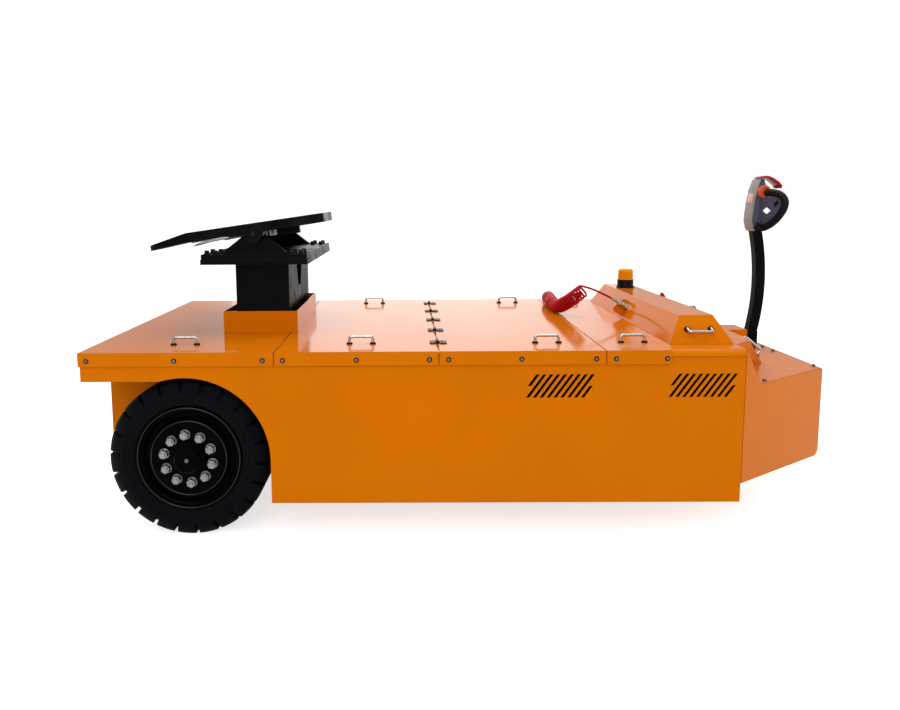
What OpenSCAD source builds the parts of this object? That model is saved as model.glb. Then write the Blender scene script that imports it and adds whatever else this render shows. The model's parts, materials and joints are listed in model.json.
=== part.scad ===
// Electric tow tractor: a low, flat-decked mover that carries a lifting trailer coupling
// over its rear axle and is walked from a tiller at its nose.
// Millimetres. +X to the nose, +Y to the left side, +Z up. The origin is on the floor,
// under the middle of the overall length and width.

/* [Body] */
// Width over the deck flanges
body_w = 1700; // [1600:10:1900]
// Deck length from the rear edge to the front body corner
deck_len = 2720; // [2700:5:2800]
// Height of the deck's top face above the floor
deck_top = 791; // [780:1:820]
// Height of the side skirt's bottom edge above the floor
skirt_bottom = 150; // [120:5:200]
// Height of the side strip's bottom edge behind the rear wheel
strip_bottom = 669; // [665:1:700]
// Thickness of the skirt, wall and floor plates
plate_t = 5; // [4:1:8]
// Thickness of the deck covers
deck_t = 6; // [4:1:8]
// Height of the covers' side flanges
flange_h = 58; // [40:1:70]
// Thickness of the covers' flanges
flange_t = 4; // [3:1:6]
// Space between a cover's flange and the skirt
flange_gap = 5; // [5:1:8]
// Width of the seams between the covers
seam = 5; // [5:1:8]
// Distance between the inner walls of the wheel wells
well_w = 1046; // [1030:2:1050]

/* [Deck] */
// Length of the rear cover
rear_cover_len = 801; // [800:1:805]
// Length of the middle cover
mid_cover_len = 672; // [650:1:690]
// Length of the hinged lid
lid_len = 677; // [650:1:680]
// Length of the front cover that has a bolted side flange
front_flange_len = 262; // [240:1:280]
// Radius of the front cover's rolled edge beside the hump
roll_r = 26; // [20:1:30]
// Number of hinges along the lid's rear edge
hinge_count = 5; // [3:2:7]
// Spacing of the lid's hinges across the deck
hinge_pitch = 325; // [280:5:330]
// Length of a hinge knuckle set along its pin
hinge_w = 60; // [50:1:80]
// Length of one hinge leaf
hinge_leaf = 32; // [25:1:40]
// Length of a grab handle between its legs
handle_len = 100; // [80:5:120]
// Diameter of a grab handle's bar
handle_d = 12; // [8:1:14]
// Height of a grab handle over its feet
handle_h = 38; // [30:1:50]

/* [Rear wheels] */
// Distance of the rear axle ahead of the deck's rear edge
axle_x = 427; // [420:1:435]
// Outer diameter of a rear tyre over its lugs
tyre_d = 670; // [650:2:680]
// Width of a rear tyre
tyre_w = 250; // [220:5:260]
// Distance of the tyre's outer face inside the body's width, each side
tyre_inset = 32; // [28:1:40]
// Diameter of the rim where the tyre seats
rim_d = 440; // [420:2:450]
// Gap between tyre and wheel arch
arch_gap = 14; // [10:1:20]
// Number of lugs round each shoulder of a rear tyre
lug_count = 22; // [18:1:26]
// Number of wheel nuts
nut_count = 10; // [8:1:10]
// Diameter of the wheel nut circle
nut_pcd = 205; // [195:1:215]
// Diameter of the axle spindle in the hub
spindle_d = 80; // [70:1:90]

/* [Steered drive wheel] */
// Distance of the steering axis ahead of the deck's rear edge
steer_x = 2460; // [2450:5:2470]
// Diameter of the steered wheel
steer_d = 330; // [300:5:340]
// Width of the steered wheel
steer_w = 130; // [110:5:140]
// Diameter of the steered wheel's axle
steer_axle_d = 40; // [35:1:50]

/* [Lift and coupling] */
// Start of the collar ahead of the deck's rear edge
collar_x = 488; // [480:1:490]
// Length of the collar
collar_len = 345; // [340:1:350]
// Width of the collar
collar_w = 734; // [730:1:760]
// Height of the collar above the deck
collar_h = 102; // [80:1:110]
// Thickness of the collar's walls
collar_t = 5; // [4:1:8]
// Space between the collar's rear wall and the lift post
post_rear_gap = 55; // [50:1:57]
// Space between the collar's front wall and the lift post
post_front_gap = 33; // [30:1:38]
// Space between each of the collar's side walls and the lift post
post_side_gap = 12; // [10:1:16]
// Wall of the lift post
post_wall = 12; // [8:1:16]
// Height of the post's top above the floor
post_top = 1120; // [1105:1:1135]
// Depth of the post below its top
post_depth = 626; // [600:1:650]
// Running gap between the post and its guide
guide_gap = 0.3; // [0.2:0.1:0.5]
// Length of the coupling's base plate
base_len = 480; // [460:1:500]
// Width of the coupling's base plate
base_w = 990; // [960:5:1000]
// Thickness of the coupling's base plate
base_t = 45; // [40:1:50]
// Distance of the coupling's pivot ahead of the deck's rear edge
pivot_x = 652; // [645:1:660]
// Height of the coupling's pivot above its base plate
pivot_h = 90; // [86:1:100]
// Angle at which the empty coupling plate leans to the rear
coupler_lean = 8; // [6:1:9]
// Height of the coupling plate's top above its pivot
plate_rise = 48; // [46:1:52]
// Thickness of the coupling plate
coupler_t = 12; // [10:1:12]
// Depth of the coupling plate's lip
lip_h = 44; // [40:1:50]
// Width of the coupling plate
coupler_w = 880; // [870:2:900]
// Reach of the coupling plate ahead of its pivot
coupler_front = 300; // [280:5:310]
// Reach of the coupling plate behind its pivot, without the ramps
coupler_rear = 302; // [290:1:310]
// Length of the ramps
ramp_len = 176; // [150:2:190]
// Drop of the ramps' tips below the plate's top
ramp_drop = 34; // [28:1:36]
// Thickness of the ramps at their tips
ramp_tip = 24; // [18:1:30]
// Diameter of the kingpin that the coupling locks
kingpin_d = 50.8; // [50.8, 88.9]
// Radial clearance round the kingpin
kingpin_gap = 0.3; // [0.1:0.1:0.5]
// Diameter of the coupling's pivot pins
pivot_d = 36; // [30:1:36]

/* [Nose and hump] */
// Length of the nose ahead of the body corner
nose_len = 502; // [490:2:520]
// Width of the nose's front face
nose_w = 953; // [920:2:980]
// Height of the nose's top panel above the floor
nose_top = 631; // [620:1:640]
// Height of the nose's bottom edge above the floor
nose_bottom = 229; // [215:1:240]
// Start of the hump ahead of the deck's rear edge
hump_x = 2446; // [2440:1:2450]
// Length of the hump's foot
hump_len = 268; // [262:1:270]
// Width of the hump's foot
hump_w = 1445; // [1400:5:1460]
// Height of the hump above the deck
hump_h = 113; // [100:1:120]
// How far the hump's long sides lean in
hump_lean_x = 63; // [55:1:70]
// How far the hump's ends lean in
hump_lean_y = 80; // [70:1:90]

/* [Tiller] */
// Distance of the tiller's swivel ahead of the deck's rear edge
swivel_x = 3096; // [3090:1:3100]
// Height of the tiller's fold pivot above the nose's top panel
fold_h = 89; // [85:1:95]
// Width of the tiller's arm
arm_w = 47; // [40:1:54]
// Radius of the tiller arm's bow
arm_r = 1180; // [1100:10:1300]
// Height of the tiller arm's upper end above its fold pivot
head_z = 520; // [505:1:530]
// Width of the tiller's head
head_w = 90; // [80:1:96]
// Diameter of the tiller's grips
grip_d = 36; // [32:1:38]

/* [Hidden] */
$fn = 64;
fit = 0.05;
seat_gap = 0.3;
weld_gap = 0.3;
deck_rear = -(deck_len + nose_len) / 2;
half_w = body_w / 2;
skirt_out = half_w - flange_t - flange_gap;
skirt_in = skirt_out - plate_t;
skirt_top = deck_top - deck_t - seat_gap;
well_out = well_w / 2;
well_in = well_out - plate_t;
wheel_z = tyre_d / 2;
arch_r = tyre_d / 2 + arch_gap;
bulkhead_x = axle_x + arch_r + 15;
post_x = collar_x + collar_t + post_rear_gap;
post_len = collar_len - 2 * collar_t - post_rear_gap - post_front_gap;
post_w = collar_w - 2 * (collar_t + post_side_gap);
box_front_x = post_x + post_len + 40;
front_wall_x = deck_len - 15;
roll_x = rear_cover_len + mid_cover_len + lid_len + front_flange_len;
roll_seat = deck_top - roll_r / 2;
lid_x = rear_cover_len + mid_cover_len;
front_cover_x = lid_x + lid_len;
hinge_r = 7;
hinge_z = deck_top + hinge_r;
hinge_pin_r = 4;
leaf_t = 4;
post_floor = skirt_bottom + 70;
base_x = post_x + post_len / 2 - base_len / 2 - 9;
base_top = post_top + base_t;
pivot_z = base_top + pivot_h;
saddle_t = 38;
saddle_y = coupler_w / 2 - 16 - 6 - saddle_t;
fold_z = nose_top + fold_h;
turret_top = 440;
steer_hole_r = sqrt(pow(steer_d / 2, 2) + pow(steer_w / 2, 2)) + 15;

// Air hose: outer diameter of its tube and of its coil, and the points it follows
hose_d = 11;
coil_d = 76;
lead_route = [[786, 30, 892], [753, 33, 910], [720, 38, 926], [687, 44, 940], [655, 51, 951],
    [622, 57, 958]];
coil_route = [[640, 42, 935], [608, 70, 902], [575, 116, 866], [553, 176, 839], [543, 240, 830.3],
    [541, 310, 829.3], [544, 390, 829.3], [550, 470, 829.3], [557, 550, 829.3], [564, 630, 829.3]];
tail_route = [[564, 622, 804], [565, 640, 803], [567, 665, 804], [569, 690, 807], [570, 705, 808]];
coupling_at = [570, 704, 808];

orange = "#d9730a";
black = "#1b1b1d";
steel = "#b9bcc0";
rubber = "#232323";
grey = "#6d6f75";
red = "#b3121d";

// Place along the body, measured from the deck's rear edge
function st(distance) = deck_rear + distance;

// A box between two corners, with X measured from the deck's rear edge
module slab(x, y, z) {
    translate([st(x[0]), y[0], z[0]]) cube([x[1] - x[0], y[1] - y[0], z[1] - z[0]]);
}

// The same shape on both sides of the body
module both_sides() {
    children();
    mirror([0, 1, 0]) children();
}

// A shape drawn as [x from the rear edge, z] and given a thickness along Y
module side_plate(y, t) {
    translate([deck_rear, y + t, 0]) rotate([90, 0, 0]) linear_extrude(t) children();
}

// A tube of sides flats swept along the points of a route
function unit(v) = v / norm(v);
function heading(p, i) = unit(p[min(i + 1, len(p) - 1)] - p[max(i - 1, 0)]);
function across(d) = unit(cross(d, abs(d[2]) < 0.9 ? [0, 0, 1] : [1, 0, 0]));
function ring(c, d, r, sides) = let (u = across(d), v = cross(u, d))
    [for (k = [0 : sides - 1]) c + r * (cos(360 * k / sides) * u + sin(360 * k / sides) * v)];
module swept_tube(route, d, sides) {
    n = len(route);
    points = [for (i = [0 : n - 1]) each ring(route[i], heading(route, i), d / 2, sides)];
    walls = [for (i = [0 : n - 2], k = [0 : sides - 1]) let (m = (k + 1) % sides)
        each [[i * sides + k, (i + 1) * sides + k, (i + 1) * sides + m],
              [i * sides + k, (i + 1) * sides + m, i * sides + m]]];
    start = [for (k = [0 : sides - 1]) k];
    end = [for (k = [sides - 1 : -1 : 0]) (n - 1) * sides + k];
    polyhedron(points, concat([start], walls, [end]), convexity = 6);
}

// A ring closed round the Z axis: rows are [radius on a lug, radius in a notch, height], and
// turns are [angle, 1 in a notch or 0 on a lug]
module lugged_ring(rows, turns) {
    m = len(rows);
    n = len(turns);
    points = [for (t = turns, r = rows) let (d = r[t[1]]) [d * cos(t[0]), d * sin(t[0]), r[2]]];
    faces = [for (i = [0 : n - 1], k = [0 : m - 1]) let (j = (i + 1) % n, l = (k + 1) % m)
        each [[i * m + k, j * m + k, j * m + l], [i * m + k, j * m + l, i * m + l]]];
    polyhedron(points, faces, convexity = 8);
}

// A bent sheet between an upper and a lower edge line, thick along back
module ruled_sheet(upper, lower, back) {
    n = len(upper);
    points = concat(upper, lower, [for (p = upper) p + back], [for (p = lower) p + back]);
    faces = [for (i = [0 : n - 2]) each [
        [i, n + i, n + i + 1], [i, n + i + 1, i + 1],
        [2 * n + i, 3 * n + i + 1, 3 * n + i], [2 * n + i, 2 * n + i + 1, 3 * n + i + 1],
        [i, i + 1, 2 * n + i + 1], [i, 2 * n + i + 1, 2 * n + i],
        [n + i, 3 * n + i + 1, n + i + 1], [n + i, 3 * n + i, 3 * n + i + 1]]];
    ends = [[0, 2 * n, 3 * n], [0, 3 * n, n], [n - 1, 2 * n - 1, 4 * n - 1], [n - 1, 4 * n - 1, 3 * n - 1]];
    polyhedron(points, concat(faces, ends), convexity = 6);
}

// Frame, wheel wells and bulkheads

axle_tube_r = 60;
axle_hole_gap = 1;
beam_h = 40;
beam_w = 60;
guide_h = 160;
guide_wall = 10;
turret_plate_t = 20;
turret_plate_rear = 200;
kingpost_r = 30;
well_x = [flange_t + plate_t, box_front_x - weld_gap];

module well_wall() {
    side_plate(well_in, plate_t) difference() {
        translate([well_x[0], post_floor]) square([well_x[1] - well_x[0], skirt_top - post_floor]);
        translate([axle_x, wheel_z]) circle(r = axle_tube_r + axle_hole_gap);
    }
}

module cross_beam(x) {
    slab([x - beam_w / 2, x + beam_w / 2], [-skirt_in, skirt_in], [skirt_top - beam_h, skirt_top]);
}

// Plates of the frame, each cut to leave a weld gap against the next
module chassis_frame() color(orange) {
    both_sides() well_wall();
    both_sides() slab([bulkhead_x, bulkhead_x + plate_t], [well_out + weld_gap, skirt_in],
        [skirt_bottom + plate_t, skirt_top]);
    slab(well_x, (well_in - weld_gap) * [-1, 1], [post_floor, post_floor + plate_t]);
    slab([box_front_x, box_front_x + plate_t], [-well_out, well_out], [skirt_bottom + plate_t, skirt_top]);
    slab([front_wall_x, front_wall_x + plate_t], [-skirt_in, skirt_in], [skirt_bottom + plate_t, roll_seat]);
    cross_beam(lid_x);
    cross_beam(front_cover_x);
}

module post_guide() color(black) {
    x = [post_x - guide_gap, post_x + post_len + guide_gap];
    y = post_w / 2 + guide_gap;
    z = [skirt_top - guide_h, skirt_top];
    end = well_in - weld_gap;
    difference() {
        union() {
            slab([x[0] - guide_wall, x[1] + guide_wall], [-y - guide_wall, y + guide_wall], z);
            slab([x[0] - guide_wall, x[0]], [-end, end], z);
            slab([x[1], x[1] + guide_wall], [-end, end], z);
        }
        slab(x, [-y, y], [z[0] - 1, z[1] + 1]);
    }
}

module turret_plate() color(orange) difference() {
    slab([steer_x - turret_plate_rear, front_wall_x], [-skirt_in, skirt_in],
        [turret_top, turret_top + turret_plate_t]);
    translate([st(steer_x), 0, turret_top - 1]) cylinder(r = kingpost_r + fit, h = turret_plate_t + 2);
}

module belly_plate() color(orange) difference() {
    slab([bulkhead_x, front_wall_x + plate_t], [-skirt_in, skirt_in], [skirt_bottom, skirt_bottom + plate_t]);
    translate([st(steer_x), 0, skirt_bottom - 1]) cylinder(r = steer_hole_r, h = plate_t + 2);
}

// Side skirts

vent_z = [595, 692];
vent_run = 70;
vent_pitch = 28;
vent_slot = 14;
vent_count = 8;
vent_starts = [1827, 2407];

module vent_slot(x, from, to) {
    rise = vent_z[1] - vent_z[0];
    a = x + vent_run * from;
    b = x + vent_run * to;
    polygon([[a, vent_z[0] + rise * from], [a + vent_slot, vent_z[0] + rise * from],
             [b + vent_slot, vent_z[0] + rise * to], [b, vent_z[0] + rise * to]]);
}

module vent(x) {
    for (i = [0 : vent_count - 1]) vent_slot(x + i * vent_pitch, 0, 1);
    vent_slot(x - vent_pitch, 0.5, 1);
    vent_slot(x + vent_count * vent_pitch, 0, 0.5);
}

nose_turn = atan2(skirt_out - nose_w / 2, nose_len);
skirt_end = deck_len - plate_t * sin(nose_turn) - seat_gap;

module skirt() {
    side_plate(skirt_in, plate_t) difference() {
        translate([flange_t, skirt_bottom]) square([skirt_end - flange_t, skirt_top - skirt_bottom]);
        translate([roll_x - seam, roll_seat]) square([deck_len, roll_r]);
        translate([axle_x, wheel_z]) circle(r = arch_r);
        translate([-1, 0]) square([axle_x + 1, strip_bottom]);
        translate([axle_x - 1, 0]) square([arch_r + 1, wheel_z]);
        for (x = vent_starts) vent(x);
    }
}

module left_skirt() color(orange) skirt();
module right_skirt() color(orange) mirror([0, 1, 0]) skirt();

module rear_panel() color(orange) translate([st(flange_t), 0, 0]) rotate([90, 0, 90])
    linear_extrude(plate_t) union() {
        translate([-skirt_in, strip_bottom]) square([2 * skirt_in, skirt_top - strip_bottom]);
        translate([-well_out, post_floor]) square([2 * well_out, strip_bottom - post_floor + 1]);
    }

// Deck covers, hinged lid and their handles

module cover(x, flange_x) {
    slab(x, [-half_w, half_w], [deck_top - deck_t, deck_top]);
    both_sides() slab(flange_x, [half_w - flange_t, half_w], [deck_top - flange_h, deck_top]);
}

module collar_inside(z) {
    slab([collar_x + collar_t, collar_x + collar_len - collar_t], (collar_w / 2 - collar_t) * [-1, 1], z);
}

module rear_cover() color(orange) difference() {
    x = [0, rear_cover_len - seam / 2];
    union() {
        cover(x, x);
        slab([0, flange_t], [-half_w, half_w], [deck_top - flange_h, deck_top]);
    }
    collar_inside([deck_top - flange_h, deck_top + 1]);
}

module mid_cover() color(orange) difference() {
    x = [rear_cover_len + seam / 2, lid_x - seam / 2];
    cover(x, x);
    collar_inside([deck_top - flange_h, deck_top + 1]);
}

module lid() color(orange) {
    x = [lid_x + seam / 2, front_cover_x - seam / 2];
    cover(x, x);
}

prow_x = 111;
prow_y = 600;
cheek_y = 732;

// Section of the rolled edge, as [y, z]
module rolled_edge() {
    translate([half_w - roll_r, deck_top - roll_r]) intersection() {
        difference() {
            circle(r = roll_r);
            circle(r = roll_r - flange_t);
        }
        square(roll_r);
    }
}

module front_cover() color(orange) {
    x = front_cover_x + seam / 2;
    cover([x, roll_x], [x, roll_x]);
    slab([roll_x - 1, deck_len], (half_w - roll_r) * [-1, 1], [deck_top - deck_t, deck_top]);
    both_sides() translate([st(roll_x - 1), 0, 0]) rotate([90, 0, 90])
        linear_extrude(skirt_end - roll_x + 1) rolled_edge();
    translate([0, 0, deck_top - deck_t]) linear_extrude(deck_t)
        polygon([[st(deck_len - 1), cheek_y], [st(deck_len), cheek_y], [st(deck_len + prow_x), prow_y],
                 [st(deck_len + prow_x), -prow_y], [st(deck_len), -cheek_y], [st(deck_len - 1), -cheek_y]]);
}

module pedestal_collar() color(orange) difference() {
    slab([collar_x, collar_x + collar_len], collar_w / 2 * [-1, 1], [deck_top, deck_top + collar_h]);
    collar_inside([deck_top - 1, deck_top + collar_h + 1]);
}

// A bent bar handle along X on the plane z = 0, swung down about its feet
module handle(swing = 0) {
    bend = 10;
    pivot = 8;
    top = handle_h - handle_d / 2 - pivot;
    for (side = [-1, 1]) translate([side * handle_len / 2, 0, 0]) {
        cylinder(d = handle_d + 8, h = 5);
        cylinder(d = handle_d, h = pivot);
    }
    translate([0, 0, pivot]) rotate([-swing, 0, 0]) {
        for (side = [-1, 1]) translate([side * handle_len / 2, 0, 0]) {
            translate([0, 0, -1]) cylinder(d = handle_d, h = top - bend + 1);
            translate([-side * bend, 0, top - bend]) rotate([90, 0, 0])
                rotate([0, 0, side > 0 ? 0 : 90]) rotate_extrude(angle = 90)
                    translate([bend, 0]) circle(d = handle_d);
        }
        translate([-handle_len / 2 + bend, 0, top]) rotate([0, 90, 0])
            cylinder(d = handle_d, h = handle_len - 2 * bend);
    }
}

handle_y = 670;
fixed_handles_x = [392, 1147, 2305];
lid_handle_x = 1940;
hood_handle_y = 385;
hump_handle_swing = 60;

module deck_handles() color(steel) both_sides() {
    for (x = fixed_handles_x) translate([st(x), handle_y, deck_top]) handle();
    translate([st(hump_x + hump_len / 2), hump_w / 2 - hump_lean_y / 2, deck_top + hump_h / 2])
        rotate([-atan2(hump_h, hump_lean_y), 0, 0]) handle(hump_handle_swing);
    translate([hood_mid[0], hood_handle_y, hood_mid[1]]) rotate([0, hood_slope, 0]) handle();
}

module lid_handles() color(steel) both_sides()
    translate([st(lid_handle_x), handle_y, deck_top]) handle();

hinge_ys = [for (i = [0 : hinge_count - 1]) (i - (hinge_count - 1) / 2) * hinge_pitch];

module hinge_leaf(side, y0, y1) {
    translate([side > 0 ? 0 : -hinge_leaf, y0, -hinge_r]) cube([hinge_leaf, y1 - y0, leaf_t]);
}

module hinge_leaves_fixed() color(black) for (y = hinge_ys) translate([st(lid_x), y, hinge_z]) {
    difference() {
        hinge_leaf(-1, -hinge_w / 2, hinge_w / 2);
        translate([0, hinge_w / 6 + 1, 0]) rotate([90, 0, 0]) cylinder(r = hinge_r + 1, h = hinge_w / 3 + 2);
    }
    for (a = [-hinge_w / 2, hinge_w / 6]) translate([0, a + hinge_w / 3, 0])
        rotate([90, 0, 0]) cylinder(r = hinge_r, h = hinge_w / 3);
    translate([0, hinge_w / 2, 0]) rotate([90, 0, 0]) cylinder(r = hinge_pin_r, h = hinge_w);
}

module hinge_leaves_moving() color(black) for (y = hinge_ys) translate([st(lid_x), y, hinge_z]) {
    inner = hinge_w / 6 - 0.5;
    difference() {
        union() {
            hinge_leaf(1, -inner, inner);
            translate([hinge_r + 1, 0, 0]) hinge_leaf(1, -hinge_w / 2, hinge_w / 2);
            translate([0, inner, 0]) rotate([90, 0, 0]) cylinder(r = hinge_r, h = 2 * inner);
        }
        translate([0, hinge_w / 2, 0]) rotate([90, 0, 0]) cylinder(r = hinge_pin_r + fit, h = hinge_w);
    }
}

// Hump, hood and nose

module frustum(grow) {
    foot = [hump_len + 2 * grow, hump_w + 2 * grow];
    head = [hump_len - 2 * hump_lean_x + 2 * grow, hump_w - 2 * hump_lean_y + 2 * grow];
    hull() {
        translate([-foot[0] / 2, -foot[1] / 2, 0]) cube([foot[0], foot[1], 0.01]);
        translate([-head[0] / 2, -head[1] / 2, hump_h + grow - 0.01]) cube([head[0], head[1], 0.01]);
    }
}

module hump_cover() color(orange) translate([st(hump_x + hump_len / 2), 0, deck_top]) difference() {
    frustum(0);
    translate([0, 0, -0.01]) frustum(-plate_t);
}

// Inner face of the nose's side wall, at a distance ahead of the body corner
function nose_inner_y(x) = skirt_out - x * tan(nose_turn) - plate_t / cos(nose_turn) - seat_gap;
// Corners of the hood's foot and head on one side: [ahead of the body corner, out from the middle]
hood_foot = [[90, nose_inner_y(90)], [223, 403], [294, 326]];
hood_head = [[0, nose_inner_y(0)], [2, cheek_y], [prow_x, prow_y]];
function mirrored_line(half, z) = concat(
    [for (p = half) [st(deck_len + p[0]), p[1], z]],
    [for (i = [len(half) - 1 : -1 : 0]) [st(deck_len + half[i][0]), -half[i][1], z]]);
hood_run = hood_foot[2][0] - prow_x;
hood_drop = deck_top - deck_t - nose_top;
hood_slope = atan2(hood_drop, hood_run);
hood_mid = [st(deck_len + prow_x + hood_run / 2), nose_top + hood_drop / 2];

module hood_panels() color(orange)
    ruled_sheet(mirrored_line(hood_head, deck_top - deck_t), mirrored_line(hood_foot, nose_top),
        [-plate_t, 0, 0]);

nose_side = sqrt(pow(nose_len, 2) + pow(skirt_out - nose_w / 2, 2));
gusset_len = 114;
nose_round = 35;

module nose_side_wall() {
    translate([st(deck_len), skirt_out, 0]) rotate([0, 0, -nose_turn]) rotate([90, 0, 0])
        linear_extrude(plate_t) difference() {
            polygon([[0, nose_bottom], [nose_side, nose_bottom], [nose_side, nose_top],
                     [gusset_len, nose_top], [0, deck_top - deck_t]]);
            translate([nose_side - nose_round, nose_bottom]) difference() {
                translate([0, -1]) square([nose_round + 1, nose_round + 1]);
                translate([0, nose_round]) circle(r = nose_round);
            }
        }
}

module nose_plan(inset, corner) {
    back = st(front_wall_x + plate_t);
    tip = st(deck_len + nose_len) - inset;
    polygon([[back, skirt_in - inset], [st(deck_len), corner], [tip, nose_w / 2 - inset],
             [tip, -nose_w / 2 + inset], [st(deck_len), -corner], [back, -skirt_in + inset]]);
}

module nose_walls() color(orange) {
    both_sides() nose_side_wall();
    slab([deck_len + nose_len - plate_t, deck_len + nose_len], nose_w / 2 * [-1, 1],
        [nose_bottom + nose_round, nose_top]);
    translate([0, 0, nose_bottom + nose_round + 1]) linear_extrude(plate_t) nose_plan(2, skirt_in - 2);
}

module nose_panel() color(orange) translate([0, 0, nose_top - plate_t])
    linear_extrude(plate_t) nose_plan(plate_t + 3, skirt_out - plate_t - 3);

swivel_size = [46, arm_w + 24];
turn_gap = 6;
housing_w = 160;
housing_h = 114;
housing_rear = deck_len + hood_foot[2][0] + 2 * seat_gap;
housing_front = swivel_x - norm(swivel_size) / 2 - turn_gap;

// The housing's rear end lies on the slope of the hood, its foot on the nose panel
module tiller_housing() color(orange) side_plate(-housing_w / 2, housing_w) polygon([
    [housing_rear, nose_top], [housing_front, nose_top], [housing_front, nose_top + housing_h],
    [housing_rear - hood_run * housing_h / hood_drop, nose_top + housing_h]]);

// Beacon, switches, heavy masses

beacon_at = [2577, 445];
beacon_r = 44;
beacon_base_h = 46;
beacon_foot_h = 8;
beacon_lens_h = 52;
beacon_cap_h = 6;
switch_down = 18;
stop_y = 90;
key_y = -360;
hump_top = deck_top + hump_h;

module beacon_base() color(black) translate([st(beacon_at[0]), beacon_at[1], hump_top]) {
    cylinder(r = beacon_r, h = beacon_base_h);
    cylinder(r = beacon_r + 4, h = beacon_foot_h);
}

module beacon_lens() color("#f2a31b") translate([st(beacon_at[0]), beacon_at[1], hump_top + beacon_base_h])
    rotate_extrude() {
        rib = beacon_lens_h / 8;
        square([beacon_r - 5, beacon_lens_h]);
        for (i = [0 : 3]) translate([0, 2 * rib * i]) square([beacon_r - 2, rib]);
        translate([0, beacon_lens_h])
            polygon([[0, 0], [beacon_r - 5, 0], [beacon_r - 10, beacon_cap_h], [0, beacon_cap_h]]);
    }

// Places its children on the hump's front slope, a little below the ridge
module on_hump_front(y) {
    slope = atan2(hump_h, hump_lean_x);
    ridge = st(hump_x + hump_len - hump_lean_x);
    translate([ridge + switch_down * cos(slope), y, hump_top - switch_down * sin(slope)])
        rotate([0, slope, 0]) children();
}

module stop_button() color(red) on_hump_front(stop_y) rotate_extrude()
    polygon([[0, 0], [16, 0], [16, 6], [13, 6], [13, 12], [21, 14], [21, 20], [17, 25], [0, 26]]);

module key_switch() color(grey) on_hump_front(key_y) {
    cylinder(r = 18, h = 8);
    cylinder(r = 12, h = 22);
}

battery_x = [860, 2060];
battery_w = 1200;
battery_top = 700;
motor_r = 110;
motor_h = 260;

module battery_block() color("#3b3f45")
    slab(battery_x, battery_w / 2 * [-1, 1], [skirt_bottom + plate_t, battery_top]);

module drive_motor() color("#4a4d52") translate([st(steer_x), 0, turret_top + turret_plate_t])
    cylinder(r = motor_r, h = motor_h);

flange_plate_r = 90;

module rear_axle() color(black) translate([st(axle_x), 0, wheel_z]) rotate([90, 0, 0]) {
    translate([0, 0, -well_out - 10]) cylinder(r = axle_tube_r, h = 2 * (well_out + 10));
    for (side = [-1, 1]) translate([0, 0, side * (well_out + 5) - 5]) cylinder(r = flange_plate_r, h = 10);
    cylinder(d = spindle_d, h = 2 * hub_out, center = true);
}

// Rear wheels

tyre_out = half_w - tyre_inset;
hub_out = tyre_out - 40;
disc_in = 8;
nut_phase = 12;
disc_y = tyre_out - disc_in;
hub_d = 148;
cap_d = 115;

lug_step = 360 / lug_count;
// Share of a lug's step and whether it lies in the notch
lug_phases = [[0, 0], [0.39, 0], [0.78, 0], [0.8, 1], [0.98, 1]];
lug_turns = [for (i = [0 : lug_count - 1], f = lug_phases) [(i + f[0]) * lug_step, f[1]]];
bead_r = (rim_d / 2 + seat_gap) / cos(lug_step * 0.39 / 2);

// Columns: radius on a lug, radius in a notch, distance inside the tyre's outer face
tyre_rows = let (r = tyre_d / 2, wall = r - 65, band = r - 53) [
    [bead_r, bead_r, 14], [wall, wall, 2], [band, band, 0], [r - 19, r - 31, 4], [r, r - 20, 24],
    [r, r - 15, 68], [r, r, 80], [r, r, tyre_w - 80], [r, r - 18, tyre_w - 22], [wall, wall, tyre_w - 2],
    [bead_r, bead_r, tyre_w - 14]];

module on_rear_axle() translate([st(axle_x), 0, wheel_z]) rotate([-90, 0, 0]) children();

module tyre() on_rear_axle()
    lugged_ring([for (w = tyre_rows) [w[0], w[1], tyre_out - w[2]]], lug_turns);

// Rim from its flange over the dish and hub cap, and back along bore, disc and barrel.
// Columns: radius, distance inside the tyre's outer face
rim_rows = let (seat = rim_d / 2, bore = spindle_d / 2 + fit, hub = hub_d / 2, cap = cap_d / 2,
                inner = tyre_out - well_out - 30, face = tyre_out - hub_out) [
    [seat, tyre_w - 14], [seat, 6], [seat - 10, 6], [seat - 14, 18], [seat - 22, 22], [seat - 24, 32],
    [seat - 34, 46], [seat - 46, 46], [seat - 62, disc_in + 4], [seat - 68, disc_in], [hub, disc_in],
    [hub, disc_in - 20], [cap, disc_in - 20], [cap, disc_in - 30], [cap - 8, disc_in - 36],
    [0, disc_in - 36], [0, face - 1], [bore, face - 1], [bore, inner], [bore + 24, inner],
    [bore + 24, disc_in + 16], [seat - 68, disc_in + 16], [seat - 56, 60], [seat - 12, 60],
    [seat - 12, tyre_w - 14]];
nut_d = 34;
nut_h = 24;

module rim() on_rear_axle() {
    rotate_extrude() polygon([for (w = rim_rows) [w[0], tyre_out - w[1]]]);
    for (i = [0 : nut_count - 1]) rotate([0, 0, nut_phase + i * 360 / nut_count])
        translate([nut_pcd / 2, 0, disc_y - 1]) cylinder(d = nut_d, h = nut_h, $fn = 6);
}

module left_tyre() color(rubber) tyre();
module right_tyre() color(rubber) mirror([0, 1, 0]) tyre();
module left_rim() color(black) rim();
module right_rim() color(black) mirror([0, 1, 0]) rim();

// Steered drive wheel

fork_plate = [150, 26];
fork_leg = [90, 22];
fork_gap = 8;
tread_t = 30;
hub_ring_t = 12;
tread_round = 8;

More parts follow.
